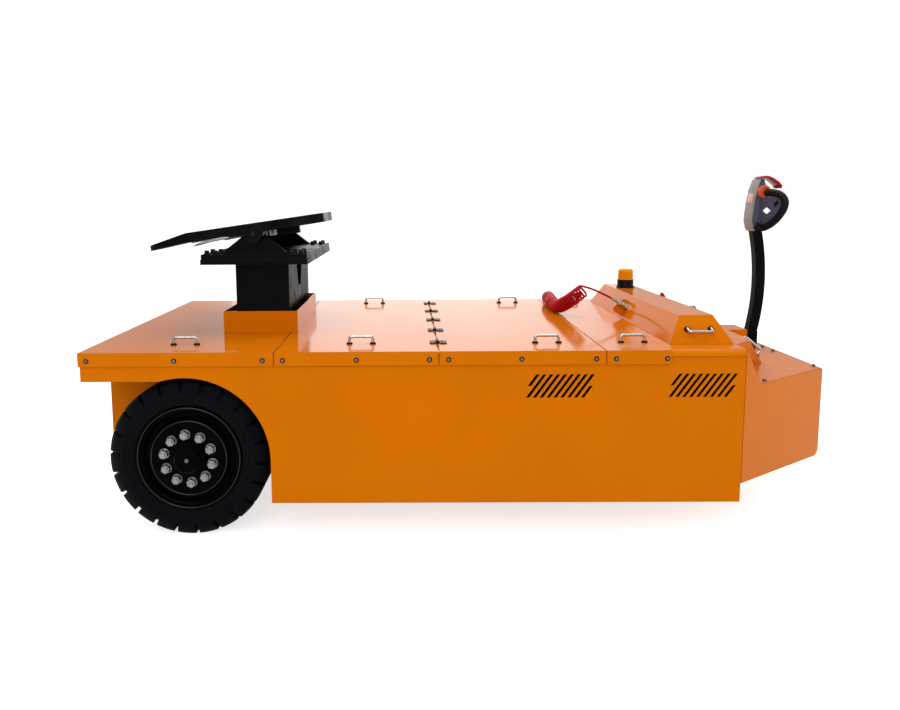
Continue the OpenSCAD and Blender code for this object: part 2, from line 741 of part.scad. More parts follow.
module steer_fork() color(black) translate([st(steer_x), 0, 0]) {
    inner = steer_w / 2 + fork_gap;
    plate_z = turret_top - seat_gap - fork_plate[1];
    translate([0, 0, plate_z]) cylinder(r = fork_plate[0], h = fork_plate[1]);
    translate([0, 0, plate_z]) cylinder(r = kingpost_r, h = fork_plate[1] + turret_plate_t);
    both_sides() translate([-fork_leg[0] / 2, inner, steer_d / 2])
        cube([fork_leg[0], fork_leg[1], plate_z + 1 - steer_d / 2]);
    both_sides() translate([0, inner + fork_leg[1], steer_d / 2]) rotate([90, 0, 0])
        cylinder(d = fork_leg[0], h = fork_leg[1]);
    translate([0, 0, steer_d / 2]) rotate([90, 0, 0])
        cylinder(d = steer_axle_d, h = 2 * (inner + fork_leg[1]), center = true);
}

steer_turns = [for (i = [0 : 47]) [i * 7.5, 0]];
steer_rows = let (r = steer_d / 2, w = steer_w / 2, core = (r - tread_t + seat_gap) / cos(3.75)) [
    [core, core, w], [r - tread_round, 0, w], [r, 0, w - tread_round],
    [r, 0, tread_round - w], [r - tread_round, 0, -w], [core, core, -w]];

module on_steer_axle() translate([st(steer_x), 0, steer_d / 2]) rotate([-90, 0, 0]) children();

module steer_tyre() color(rubber) on_steer_axle() lugged_ring(steer_rows, steer_turns);

module steer_hub() color(grey) on_steer_axle() rotate_extrude() {
    ring_r = steer_d / 2 - tread_t - hub_ring_t;
    bore = steer_axle_d / 2 + fit;
    translate([ring_r, -steer_w / 2]) square([hub_ring_t, steer_w]);
    translate([bore, -12]) square([ring_r - bore + 1, 24]);
    translate([bore, -steer_w / 2]) square([18, steer_w]);
}

// Lift post and trailer coupling

module lift_post() color(black) difference() {
    x = [post_x, post_x + post_len];
    y = post_w / 2;
    slab(x, [-y, y], [post_top - post_depth, post_top]);
    slab([x[0] + post_wall, x[1] - post_wall], [-y + post_wall, y - post_wall],
        [post_top - post_depth - 1, post_top - post_wall]);
    translate([st(x[1]) - post_wall - 1, 0, 0]) rotate([90, 0, 90]) linear_extrude(post_wall + 2)
        polygon([[-90, post_top - 31], [90, post_top - 31], [40, post_top - 141], [-40, post_top - 141]]);
}

base_layer = 3;

// Two plates bolted together, the upper one a little smaller
module base_plate() color(black) {
    seam_z = post_top + base_t / 2;
    slab([base_x, base_x + base_len], base_w / 2 * [-1, 1], [post_top, seam_z]);
    slab([base_x + base_layer, base_x + base_len - base_layer], (base_w / 2 - base_layer) * [-1, 1],
        [seam_z - 1, base_top]);
}

saddle_len = 350;
saddle_foot_t = 6;
saddle_foot_out = 12;

module saddles() color(black) both_sides() {
    boss = pivot_d / 2 + 12;
    difference() {
        union() {
            side_plate(saddle_y, saddle_t) union() {
                polygon([[pivot_x - saddle_len / 2, base_top], [pivot_x + saddle_len / 2, base_top],
                         [pivot_x + saddle_len / 2 - 30, base_top + saddle_foot_t],
                         [pivot_x + boss - 4, pivot_z + 10], [pivot_x - boss + 4, pivot_z + 10],
                         [pivot_x - saddle_len / 2 + 30, base_top + saddle_foot_t]]);
                translate([pivot_x, pivot_z]) circle(r = boss);
            }
            slab([pivot_x - saddle_len / 2, pivot_x + saddle_len / 2],
                [saddle_y - saddle_foot_out, saddle_y + saddle_t + saddle_foot_out],
                [base_top, base_top + saddle_foot_t]);
        }
        translate([st(pivot_x), saddle_y + saddle_t + 1, pivot_z]) rotate([90, 0, 0])
            cylinder(r = pivot_d / 2 + fit, h = saddle_t + 2);
    }
}

// Places its children in the coupling's own frame: origin on the pivot, leaning as at rest
module coupler_frame() translate([st(pivot_x), 0, pivot_z]) rotate([0, -coupler_lean, 0]) children();

throat_gap = 14.6;
throat_r = kingpin_d / 2 + throat_gap;
throat_mouth = 130;
throat_neck = 70;
lip_t = 16;
lock_block = 180;
plate_front_r = 492;
boss_r = 46;
boss_out = 6;
rib_t = 20;
rib_y = 230;
rib_h = 24;
lock_case_x = [83, 190];
lock_case_y = [-300, -258];
lock_case_drop = 28;

module coupler_plan(inset) {
    intersection() {
        translate([-coupler_rear, -coupler_w / 2 + inset])
            square([coupler_rear + coupler_front - inset, coupler_w - 2 * inset]);
        translate([coupler_front - plate_front_r + 42, 0]) circle(r = plate_front_r - inset);
    }
}

module throat() {
    circle(r = throat_r);
    polygon([[0, throat_r], [-throat_neck, throat_r], [-coupler_rear - 1, throat_mouth],
             [-coupler_rear - 1, -throat_mouth], [-throat_neck, -throat_r], [0, -throat_r]]);
}

// Ramps behind the plate: their side shape, as wide as their plan
module ramp() {
    tip = -coupler_rear - ramp_len;
    corner = 24;
    low = plate_rise - lip_h;
    intersection() {
        rotate([90, 0, 0]) translate([0, 0, -coupler_w / 2]) linear_extrude(coupler_w) polygon([
            [2 - coupler_rear, plate_rise], [-coupler_rear, plate_rise], [tip, plate_rise - ramp_drop],
            [tip, plate_rise - ramp_drop - ramp_tip], [-coupler_rear, low], [2 - coupler_rear, low]]);
        translate([0, 0, -coupler_w / 2]) linear_extrude(coupler_w) polygon([
            [2 - coupler_rear, throat_mouth], [2 - coupler_rear, coupler_w / 2],
            [tip + corner, coupler_w / 2], [tip, coupler_w / 2 - corner],
            [tip, throat_mouth + 100 + corner], [tip + corner, throat_mouth + 100]]);
    }
}

module coupler_plate() color(black) coupler_frame() {
    low = plate_rise - lip_h;
    under = plate_rise - coupler_t;
    difference() {
        translate([0, 0, low]) linear_extrude(lip_h) difference() {
            coupler_plan(0);
            throat();
        }
        translate([0, 0, low - 1]) linear_extrude(lip_h - coupler_t + 1) difference() {
            coupler_plan(lip_t);
            square(lock_block, center = true);
        }
    }
    translate([lock_case_x[0], lock_case_y[0], -lock_case_drop])
        cube([lock_case_x[1] - lock_case_x[0], lock_case_y[1] - lock_case_y[0], lock_case_drop + under + 1]);
    both_sides() {
        ramp();
        translate([lip_t / 2 - coupler_rear, rib_y - rib_t / 2, under - rib_h])
            cube([coupler_rear + coupler_front / 2, rib_t, rib_h + 1]);
        translate([0, coupler_w / 2, 0]) rotate([90, 0, 0])
            cylinder(d = pivot_d, h = coupler_w / 2 - saddle_y + 10);
        translate([0, coupler_w / 2 + boss_out, 0]) rotate([90, 0, 0])
            cylinder(r = boss_r, h = boss_out + lip_t);
    }
}

jaw_wall = 49.6;
jaw_r = kingpin_d / 2 + jaw_wall;
jaw_h = 30;
jaw_lug_w = 50;
pull_x = -124;
pull_d = 20;
pull_t = 14;
pull_start = -276;
pull_drop = 8;
pull_w = 24;
pull_out = 4;

module lock_jaw() color(steel) coupler_frame() translate([0, 0, plate_rise - lip_h - jaw_h]) difference() {
    union() {
        cylinder(r = jaw_r, h = jaw_h);
        translate([pull_x + pull_d / 2 + seat_gap, -jaw_lug_w / 2, 0])
            cube([-pull_x - pull_d / 2, jaw_lug_w, jaw_h]);
    }
    translate([0, 0, -1]) cylinder(r = kingpin_d / 2 + kingpin_gap, h = jaw_h + 2);
}

// Flat pull handle at the right side, on the bar that draws the lock
module release_handle() color(steel) coupler_frame() {
    z = plate_rise - lip_h - pull_drop;
    side = -coupler_w / 2 - pull_out;
    translate([pull_start, side, z - pull_t / 2])
        cube([pull_x + pull_d / 2 - pull_start, pull_w, pull_t - 2]);
    translate([pull_x - pull_d / 2, side + 10, z - pull_t / 2]) cube([pull_d, -side - 10, pull_t]);
}

// Tiller

module at_swivel() translate([st(swivel_x), 0, fold_z]) children();

fold_pin_r = 10;
fold_pin_out = 4;
fold_boss_r = 28;
swivel_foot = [30, 30];
swivel_over = 10;
slot_floor = 38;
cheek_gap = 1;

module tiller_swivel() color(black) at_swivel() difference() {
    foot = nose_top - fold_z;
    union() {
        translate([0, 0, foot + seat_gap]) cylinder(r = swivel_foot[0], h = swivel_foot[1]);
        translate([-swivel_size[0] / 2, -swivel_size[1] / 2, foot + swivel_foot[1]])
            cube([swivel_size[0], swivel_size[1], fold_h - swivel_foot[1] + swivel_over]);
    }
    translate([-swivel_size[0], -arm_w / 2 - cheek_gap, foot + slot_floor])
        cube([2 * swivel_size[0], arm_w + 2 * cheek_gap, 2 * fold_h]);
    translate([0, swivel_size[1], 0]) rotate([90, 0, 0])
        cylinder(r = fold_pin_r + fit, h = 2 * swivel_size[1]);
}

arm_sweep = asin(head_z / 2 / arm_r);

module tiller_arm() color(black) at_swivel() {
    translate([-arm_r * cos(arm_sweep), arm_w / 2, head_z / 2]) rotate([90, 0, 0])
        rotate([0, 0, -arm_sweep]) rotate_extrude(angle = 2 * arm_sweep, $fn = 256)
            translate([arm_r - arm_w / 2, 0]) square([arm_w, arm_w]);
    rotate([90, 0, 0]) cylinder(r = fold_boss_r, h = arm_w, center = true);
    rotate([90, 0, 0]) cylinder(r = fold_pin_r, h = swivel_size[1] + 2 * fold_pin_out, center = true);
}

// Height of the arm's sloping end face, where the head sits, at a distance x ahead of the pivot
function arm_end_z(x) = head_z + x * tan(arm_sweep) + 2 * seat_gap;
// Side outline of the head over the arm's end: [ahead of the pivot, above head_z]
head_rear = [[-41, 40], [-41, 72], [-33, 145], [-15, 225], [-6, 249], [8, 256]];
head_front = [[24, 228], [40, 206], [44, 185], [30, 160], [8, 150], [6, 60], [16, 25]];
// Arched plate of the belly switch
belly_outline = [[-3, 256.4], [-3, 259.5], [8, 264.5], [24, 268], [42, 267], [67, 256], [94, 238], [109, 220],
    [107, 206], [99, 207], [93, 221], [66, 243], [42, 255.5], [24, 256.4]];
head_foot = 26;
shell_t = 8;
knob_at = [13, 190];
knob_r = 31;
knob_t = 18;
loop_turn = 59;
loop_at = [9, head_w / 2];
// Points of a grip: [out from the head in the plane of its loop, above head_z]
grip_route = [[21, 186], [58, 184], [98, 171], [120, 145], [118, 111], [100, 78], [66, 42], [32, 20], [6, 12]];
// The grip's lower end runs back along the head's side: [ahead of the pivot, out, above head_z]
grip_end = [[-6, 49, 14], [-20, 47, 24]];
// Outline and window of the guard that fills the loop, in the same plane
guard_outline = concat([[-14, 33], [-14, 181]], [for (i = [0 : 7]) grip_route[i]]);
guard_window = [[4, 97], [27, 115], [50, 97], [27, 79]];
guard_t = 10;

function in_loop(g) = [loop_at[0] + g[0] * cos(loop_turn), loop_at[1] + g[0] * sin(loop_turn), g[1]];
function shifted(points, dx) = [for (p = points) [p[0] + dx, p[1]]];

module side_outline(points, w) translate([0, w / 2, head_z]) rotate([90, 0, 0])
    linear_extrude(w) polygon(points);

module tiller_head() color(black) at_swivel() {
    foot = [for (x = [head_foot, shell_t - head_foot]) [x, arm_end_z(x) - head_z]];
    side_outline(concat(foot, shifted(head_rear, shell_t), head_front), head_w);
    both_sides() difference() {
        translate([loop_at[0], loop_at[1], head_z]) rotate([0, 0, loop_turn])
            translate([0, guard_t / 2, 0]) rotate([90, 0, 0]) linear_extrude(guard_t) difference() {
                polygon(guard_outline);
                polygon(guard_window);
            }
        translate([0, seat_gap, 0]) at_knob(knob_r + 1, 2 * knob_t);
    }
}

// Paler shell over the head's rear face
module head_shell() color(grey) at_swivel() side_outline(concat(
    [[-head_foot, arm_end_z(-head_foot) - head_z]], head_rear,
    [for (i = [len(head_rear) - 1 : -1 : 0]) head_rear[i] + [shell_t - seat_gap, 0]],
    [[shell_t - head_foot - seat_gap, arm_end_z(shell_t - head_foot) - head_z]]), head_w);

// A disc on the head's side, about the knob's axis
module at_knob(r, t) translate([knob_at[0], head_w / 2 + t, head_z + knob_at[1]]) rotate([90, 0, 0])
    cylinder(r = r, h = t);

module throttle_knobs() color("#e0651c") at_swivel() both_sides()
    translate([0, seat_gap, 0]) at_knob(knob_r, knob_t);

module belly_switch() color(red) at_swivel() side_outline(belly_outline, head_w - 16);

module tiller_grips() color(black) at_swivel() both_sides() translate([0, 0, head_z])
    swept_tube(concat([for (g = grip_route) in_loop(g)], grip_end), grip_d, 12);

// Air hose

hump_slope = atan2(hump_h, hump_lean_x);
fitting_y = 30;
fitting_r = 11;
// Steps of the hose fitting from its foot: [radius beyond the barrel, start, length, flats]
fitting_steps = [[5, 0, 14, 6], [0, 0, 60, 64], [3, 26, 6, 64], [4, 40, 16, 6], [-2, 0, 96, 64]];
bracket_y = 56;
bracket_t = 8;
// Side outline of the bracket: [up the slope from the fitting, out from it]
bracket_outline = [[-54, 0], [30, 0], [30, 32], [18, 44], [-40, 58], [-54, 44]];

module on_hump_rear(y) translate([st(hump_x + hump_lean_x / 2), y, deck_top + hump_h / 2])
    rotate([0, -hump_slope, 0]) children();

module hose_fitting() color(steel) on_hump_rear(fitting_y) for (f = fitting_steps)
    translate([0, 0, f[1]]) cylinder(r = fitting_r + f[0], h = f[2], $fn = f[3]);

// Upright plate with cut corners behind the fitting
module hose_bracket() color(orange) on_hump_rear(bracket_y) rotate([90, 0, 0])
    linear_extrude(bracket_t) polygon(bracket_outline);

module hose_lead() color(red) swept_tube(lead_route, hose_d, 10);
module hose_coil() color(red) swept_tube(coil_route, coil_d, 12);
module hose_tail() color(red) swept_tube(tail_route, hose_d, 10);
module hose_coupling() color(steel) translate(coupling_at) rotate([-90, 0, 0]) {
    cylinder(r = 9, h = 30);
    translate([0, 0, 28]) cylinder(r = 16, h = 40);
}

chassis_frame();
post_guide();
turret_plate();
belly_plate();
left_skirt();
right_skirt();
rear_panel();
rear_cover();
mid_cover();
front_cover();
pedestal_collar();
hump_cover();
hood_panels();
nose_walls();
nose_panel();
tiller_housing();
deck_handles();
hinge_leaves_fixed();
beacon_base();
beacon_lens();
stop_button();
key_switch();
battery_block();
rear_axle();
drive_motor();
hose_bracket();
hose_fitting();
hose_lead();
hose_coil();
hose_tail();
hose_coupling();
lid();
lid_handles();
hinge_leaves_moving();
lift_post();
base_plate();
saddles();
coupler_plate();
lock_jaw();
release_handle();
left_tyre();
left_rim();
right_tyre();
right_rim();
steer_fork();
steer_tyre();
steer_hub();
tiller_swivel();
tiller_arm();
tiller_head();
head_shell();
throttle_knobs();
belly_switch();
tiller_grips();
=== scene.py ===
"""Looks of a low, flat-decked electric tow tractor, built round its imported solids.

Places are in metres in the part's own frame: +X to the nose, +Y to the left side, +Z up. The helpers that
model a piece by itself, before it is put in its place, take millimetres.
"""

import json
import logging
import math
from collections.abc import Callable, Iterable, Sequence
from dataclasses import dataclass
from enum import Enum

import bpy
from mathutils import Matrix, Vector

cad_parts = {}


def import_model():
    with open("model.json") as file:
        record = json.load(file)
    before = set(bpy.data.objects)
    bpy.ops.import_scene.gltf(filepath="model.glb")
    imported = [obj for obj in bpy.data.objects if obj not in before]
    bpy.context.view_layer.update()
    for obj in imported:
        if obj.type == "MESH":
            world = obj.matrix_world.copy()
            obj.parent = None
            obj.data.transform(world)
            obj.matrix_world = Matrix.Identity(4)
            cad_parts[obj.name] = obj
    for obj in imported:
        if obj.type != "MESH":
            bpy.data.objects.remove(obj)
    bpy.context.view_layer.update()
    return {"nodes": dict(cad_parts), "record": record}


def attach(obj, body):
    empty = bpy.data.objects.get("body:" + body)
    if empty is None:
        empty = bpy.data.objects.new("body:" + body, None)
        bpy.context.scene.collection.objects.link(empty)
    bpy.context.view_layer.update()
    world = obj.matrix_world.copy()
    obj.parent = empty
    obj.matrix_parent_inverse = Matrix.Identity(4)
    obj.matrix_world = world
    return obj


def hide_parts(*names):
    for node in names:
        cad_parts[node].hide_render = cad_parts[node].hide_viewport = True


Piece = bpy.types.Object
Tree = bpy.types.NodeTree
Triple = tuple[float, float, float]

LOG = logging.getLogger("tow_tractor")
MM = 0.001  # one millimetre in metres
REAR = -1.611  # the deck's rear edge along X
DECK_TOP = 0.791
NOSE_TOP = 0.631
HALF_WIDTH = 0.850


class Side(Enum):
    """The two sides of the machine, as the sign of Y."""

    LEFT = 1
    RIGHT = -1


class Grain(Enum):
    """How a surface was made, which decides its fine relief."""

    SPRAYED = "sprayed"
    MOULDED = "moulded"
    CAST = "cast"
    BRUSHED = "brushed"


class Head(Enum):
    """Shape of a screw's head."""

    BUTTON = "button"
    HEX = "hex"
    SOCKET = "socket"


def linear(code: str) -> tuple[float, float, float, float]:
    """Turns an sRGB hex colour into a linear one.

    Args:
        code: Six hex digits after a hash.

    Returns:
        Linear red, green, blue and an alpha of one.
    """
    parts = [int(code[i : i + 2], 16) / 255 for i in (1, 3, 5)]
    r, g, b = (c / 12.92 if c <= 0.04045 else ((c + 0.055) / 1.055) ** 2.4 for c in parts)
    return r, g, b, 1.0


def add_node(tree: Tree, kind: str, inputs: dict | None = None, **settings) -> bpy.types.Node:
    """Adds a node with its settings, constants and links.

    Args:
        tree: The tree that takes the node.
        kind: The node's type, without the words in front that all shader nodes share.
        inputs: Constants, or the sockets to link, by input name or number.
        settings: Properties of the node.

    Returns:
        The new node.
    """
    node = tree.nodes.new(f"ShaderNode{kind}")
    for name, value in settings.items():
        setattr(node, name, value)
    for name, value in (inputs or {}).items():
        if isinstance(value, bpy.types.NodeSocket):
            tree.links.new(value, node.inputs[name])
        else:
            node.inputs[name].default_value = value
    return node


@dataclass(frozen=True)
class Finish:
    """One real material: the record's slot it belongs to, its colour, how it was made, and its dirt and wear.

    Sizes are in millimetres. Patches are slow changes of colour and gloss, the grain is the
    fine relief, wear is a paler tone along edges, and edges catch light over their edge width.
    The tint colours what is mirrored square to the surface, not what is mirrored at a glance.
    """

    name: str
    slot: str
    colour: str
    patch_colour: str
    roughness: tuple[float, float]
    grain: Grain
    grain_mm: float
    grain_depth_mm: float
    patch_mm: float = 180.0
    patch_share: float = 0.5
    metallic: float = 0.0
    ior: float = 1.5
    tint: str = "#FFFFFF"
    transmission: float = 0.0
    wear_colour: str | None = None
    wear_mm: float = 3.0
    chip_mm: float = 9.0
    edge_mm: float = 1.5

    def noise(self, tree: Tree, size_mm: float, stretch: Sequence[float] = (1, 1, 1)) -> bpy.types.Node:
        """Adds a noise whose cells are about a given size.

        Args:
            tree: The material's tree.
            size_mm: Size of one cell.
            stretch: Scale along each axis, below one for long streaks.

        Returns:
            The noise node.
        """
        place = add_node(tree, "TexCoord")
        turned = add_node(tree, "Mapping", {"Vector": place.outputs["Object"], "Scale": stretch})
        return add_node(tree, "TexNoise",
                        {"Vector": turned.outputs[0], "Scale": 1 / (size_mm * MM), "Detail": 3.0, "Roughness": 0.55})

    def relief(self, tree: Tree) -> bpy.types.Node:
        """Adds the bump of the fine relief.

        Args:
            tree: The material's tree.

        Returns:
            The bump node.
        """
        stretch = (0.04, 1, 1) if self.grain is Grain.BRUSHED else (1, 1, 1)
        if self.grain is Grain.CAST:
            place = add_node(tree, "TexCoord")
            height = add_node(tree, "TexVoronoi",
                              {"Vector": place.outputs["Object"],
                               "Scale": 1 / (self.grain_mm * MM)}).outputs["Distance"]
        else:
            height = self.noise(tree, self.grain_mm, stretch).outputs["Fac"]
        soft = add_node(tree, "Bevel", {"Radius": self.edge_mm * MM}, samples=4)
        return add_node(tree, "Bump", {"Height": height, "Strength": 1.0, "Normal": soft.outputs[0],
                        "Distance": self.grain_depth_mm * MM})

    def tone(self, tree: Tree, patches: bpy.types.Node) -> bpy.types.NodeSocket:
        """Mixes the base colour with its patches and edge wear.

        Args:
            tree: The material's tree.
            patches: The slow noise.

        Returns:
            The colour socket.
        """
        spread = add_node(tree, "MapRange", {"Value": patches.outputs["Fac"], "From Min": 0.42,
                          "From Max": 0.72, "To Min": 0.0, "To Max": self.patch_share})
        mixed = add_node(tree, "Mix", {0: spread.outputs[0], 6: linear(self.colour),
                         7: linear(self.patch_colour)}, data_type="RGBA").outputs[2]
        if self.wear_colour is None:
            return mixed
        flat = add_node(tree, "NewGeometry")
        rounded = add_node(tree, "Bevel", {"Radius": self.wear_mm * MM}, samples=4)
        bend = add_node(tree, "VectorMath", {0: flat.outputs["Normal"], 1: rounded.outputs[0]},
                        operation="DOT_PRODUCT")
        chips = self.noise(tree, self.chip_mm)
        edge = add_node(tree, "MapRange", {"Value": bend.outputs["Value"], "From Min": 0.97,
                        "From Max": 0.80, "To Min": 0.0, "To Max": 1.0})
        broken = add_node(tree, "Math", {0: edge.outputs[0], 1: chips.outputs["Fac"]}, operation="MULTIPLY")
        return add_node(tree, "Mix", {0: broken.outputs[0], 6: mixed, 7: linear(self.wear_colour)},
                        data_type="RGBA").outputs[2]

    def material(self) -> bpy.types.Material:
        """Builds the material, or finds the one that is already there.

        Returns:
            The material.
        """
        found = bpy.data.materials.get(self.name)
        if found:
            return found
        made = bpy.data.materials.new(self.name)
        made.use_nodes = True
        tree = made.node_tree
        tree.nodes.clear()
        patches = self.noise(tree, self.patch_mm)
        rough = add_node(tree, "MapRange", {"Value": patches.outputs["Fac"], "From Min": 0.3,
                         "From Max": 0.7, "To Min": self.roughness[0], "To Max": self.roughness[1]})
        shader = add_node(tree, "BsdfPrincipled",
                          {"Base Color": self.tone(tree, patches), "Roughness": rough.outputs[0],
                           "Normal": self.relief(tree).outputs[0], "Metallic": self.metallic, "IOR": self.ior,
                           "Specular Tint": linear(self.tint), "Transmission Weight": self.transmission})
        add_node(tree, "OutputMaterial", {"Surface": shader.outputs[0]})
        return made


# Gloss powder coat on sheet steel: a clear sheen with the faint waviness of baked powder
POWDER_COAT = Finish(
    "orange_powder_coat", "orange_paint", "#D87407", "#CE6B05", (0.07, 0.14), Grain.SPRAYED, 9.0, 0.008,
    patch_mm=420, ior=1.28, tint="#D87407", edge_mm=4.0)
# Semi-gloss enamel on thick plate: dust in patches and bare grey along the corners
BLACK_ENAMEL = Finish(
    "black_enamel", "black_paint", "#0A0A0C", "#121315", (0.22, 0.40), Grain.SPRAYED, 3.0, 0.03, patch_mm=90,
    ior=1.12, wear_colour="#3A3C40", wear_mm=2.0, edge_mm=2.0)
# Gloss black on a pressed steel wheel
WHEEL_BLACK = Finish(
    "wheel_black", "black_paint", "#050506", "#0A0A0B", (0.12, 0.24), Grain.SPRAYED, 4.0, 0.015, patch_mm=60,
    ior=1.25, tint="#505055", edge_mm=2.5)
# The same paint on a polished lip
LIP_BLACK = Finish(
    "rim_lip_black", "black_paint", "#08080A", "#101012", (0.10, 0.20), Grain.SPRAYED, 4.0, 0.01, patch_mm=40,
    ior=1.45, edge_mm=0.5)
# Solid rubber: matt, with a grey bloom of dust
TYRE_RUBBER = Finish(
    "solid_rubber", "tyre_rubber", "#07080A", "#0E1013", (0.42, 0.62), Grain.MOULDED, 2.2, 0.10, patch_mm=45,
    ior=1.42, tint="#4A4E58", edge_mm=2.5)
# Zinc-plated and drawn steel: bright, with fine drawing lines
BRIGHT_STEEL = Finish(
    "zinc_plated_steel", "bright_steel", "#C2C4C6", "#9B9DA0", (0.18, 0.32), Grain.BRUSHED, 0.8, 0.01, patch_mm=20,
    metallic=1.0, edge_mm=0.6)
# Plated wheel nuts, dusty in their corners
NUT_STEEL = Finish(
    "nut_steel", "bright_steel", "#A3A3A2", "#6F6F70", (0.24, 0.40), Grain.BRUSHED, 0.8, 0.02, patch_mm=14,
    metallic=1.0, edge_mm=0.8)
DULL_STEEL = Finish(
    "dulled_steel", "bright_steel", "#7B7C80", "#5C5D61", (0.22, 0.38), Grain.BRUSHED, 0.8, 0.02, patch_mm=15,
    metallic=1.0, edge_mm=0.6)
BLACK_OXIDE = Finish(
    "blackened_steel", "black_paint", "#17171A", "#242326", (0.28, 0.42), Grain.SPRAYED, 1.0, 0.01, patch_mm=12,
    metallic=0.7, edge_mm=0.8)
GREY_CASTING = Finish(
    "cast_grey_iron", "grey_casting", "#7C7E80", "#66686A", (0.50, 0.65), Grain.CAST, 2.0, 0.12, metallic=0.3)
CASE_PLASTIC = Finish("case_plastic", "battery_case", "#3A3E44", "#2F3237", (0.45, 0.55), Grain.MOULDED, 1.5, 0.04)
BLACK_PLASTIC = Finish(
    "textured_black_abs", "black_plastic", "#0D0E10", "#17181A", (0.28, 0.42), Grain.MOULDED, 1.2, 0.05,
    patch_mm=30, ior=1.22)
CHARCOAL_PLASTIC = Finish(
    "charcoal_plastic", "black_plastic", "#45465A", "#3A3B4C", (0.34, 0.46), Grain.MOULDED, 1.2, 0.05, patch_mm=40,
    ior=1.42)
GREY_PLASTIC = Finish(
    "textured_grey_abs", "grey_plastic", "#8F888A", "#837C7E", (0.36, 0.48), Grain.MOULDED, 1.2, 0.04, patch_mm=40)
AMBER_LENS = Finish(
    "amber_polycarbonate", "amber_lens", "#F29A06", "#E88E02", (0.06, 0.12), Grain.MOULDED, 6.0, 0.01,
    transmission=0.05, ior=1.30, tint="#F09A0A")
RED_PLASTIC = Finish(
    "moulded_red", "red_plastic", "#B01A22", "#9C1119", (0.14, 0.24), Grain.MOULDED, 3.0, 0.01, tint="#C06060")
ORANGE_PLASTIC = Finish(
    "moulded_orange", "orange_plastic", "#DB5417", "#CC4A10", (0.22, 0.32), Grain.MOULDED, 2.0, 0.02)
# Display panel under a clear film. The panel is real; its plain salmon colour is a painted reflection on the display
SALMON_FILM_PAINTED_REFLECTION = Finish(
    "salmon_film_painted_reflection", "grey_plastic", "#E79A86", "#DF8F7A", (0.16, 0.26), Grain.MOULDED, 3.0, 0.01, patch_mm=25)
# Glossy polyurethane tube
RED_TUBE = Finish(
    "red_tube", "red_hose", "#B00A16", "#9A0812", (0.10, 0.18), Grain.MOULDED, 8.0, 0.02, ior=1.45, tint="#D05058")
# What the solids of each slot wear, and the solids that differ
SLOT_FINISHES: dict[str, Finish] = {finish.slot: finish for finish in (
    POWDER_COAT, BLACK_ENAMEL, TYRE_RUBBER, BRIGHT_STEEL, GREY_CASTING, CASE_PLASTIC, BLACK_PLASTIC, GREY_PLASTIC,
    AMBER_LENS, RED_PLASTIC, ORANGE_PLASTIC, RED_TUBE)}
NODE_FINISHES: dict[str, Finish] = {
    "left_rim": WHEEL_BLACK, "right_rim": WHEEL_BLACK, "tiller_head": CHARCOAL_PLASTIC,
}


def begin() -> None:
    """Goes back to object mode with nothing selected."""
    if bpy.context.mode != "OBJECT":
        bpy.ops.object.mode_set(mode="OBJECT")
    bpy.ops.object.select_all(action="DESELECT")


def focus(*pieces: Piece) -> None:
    """Selects some pieces in object mode.

    Args:
        pieces: The pieces, of which the first becomes the active one.
    """
    begin()
    for piece in pieces:
        piece.select_set(True)
    bpy.context.view_layer.objects.active = pieces[0]


def joined(pieces: Sequence[Piece]) -> Piece:
    """Joins pieces into one.

    Args:
        pieces: The pieces.

    Returns:
        The first piece, with the others in it.
    """
    focus(*pieces)
    if len(pieces) > 1:
        bpy.ops.object.join()
    return pieces[0]


def modify(piece: Piece, kind: str, **settings) -> None:
    """Applies a modifier to a piece.

    Args:
        piece: The piece.
        kind: The modifier's type.
        settings: Properties of the modifier.
    """
    focus(piece)
    modifier = piece.modifiers.new(kind.lower(), kind)
    for name, value in settings.items():
        setattr(modifier, name, value)
    bpy.ops.object.modifier_apply(modifier=modifier.name)


def pick(test: Callable[[Vector, Vector], bool]) -> None:
    """Selects the faces of the edited mesh that pass a test.

    Args:
        test: Takes a face's centre and normal.
    """
    bpy.ops.mesh.select_mode(type="FACE")
    bpy.ops.mesh.select_all(action="DESELECT")
    bpy.ops.object.mode_set(mode="OBJECT")
    for face in bpy.context.object.data.polygons:
        if test(face.center, face.normal):
            face.select = True
    bpy.ops.object.mode_set(mode="EDIT")


def line(points: Sequence[Sequence[float]]) -> Piece:
    """Draws a line of edges by extruding one corner after another, and stays in edit mode.

    Args:
        points: The corners.

    Returns:
        The new object.
    """
    begin()
    bpy.ops.mesh.primitive_plane_add(size=0.01)
    bpy.ops.object.mode_set(mode="EDIT")
    bpy.ops.mesh.select_mode(type="VERT")
    bpy.ops.mesh.select_all(action="SELECT")
    bpy.ops.mesh.merge(type="CENTER")
    bpy.ops.transform.translate(value=points[0])
    for a, b in zip(points, points[1:]):
        bpy.ops.mesh.extrude_vertices_move(TRANSFORM_OT_translate={"value": Vector(b) - Vector(a)})
    bpy.ops.mesh.select_all(action="SELECT")
    return bpy.context.object


def close_mesh() -> None:
    """Merges doubles, turns faces outwards and leaves edit mode."""
    bpy.ops.mesh.select_all(action="SELECT")
    bpy.ops.mesh.remove_doubles(threshold=1e-5)
    bpy.ops.mesh.normals_make_consistent(inside=False)
    bpy.ops.object.mode_set(mode="OBJECT")


def turned(points: Sequence[tuple[float, float]], steps: int, crease: float) -> Piece:
    """Spins a profile of [radius, height] round the Z axis.

    Args:
        points: The profile, which starts and ends on the axis or where it began.
        steps: Number of steps round.
        crease: Smallest angle of an edge that stays sharp, in degrees.

    Returns:
        The closed object, in object mode.
    """
    made = line([(MM * r, 0, MM * z) for r, z in points])
    bpy.ops.mesh.spin(steps=steps, angle=math.tau, center=(0, 0, 0), axis=(0, 0, 1))
    close_mesh()
    smooth(made, crease)
    return made


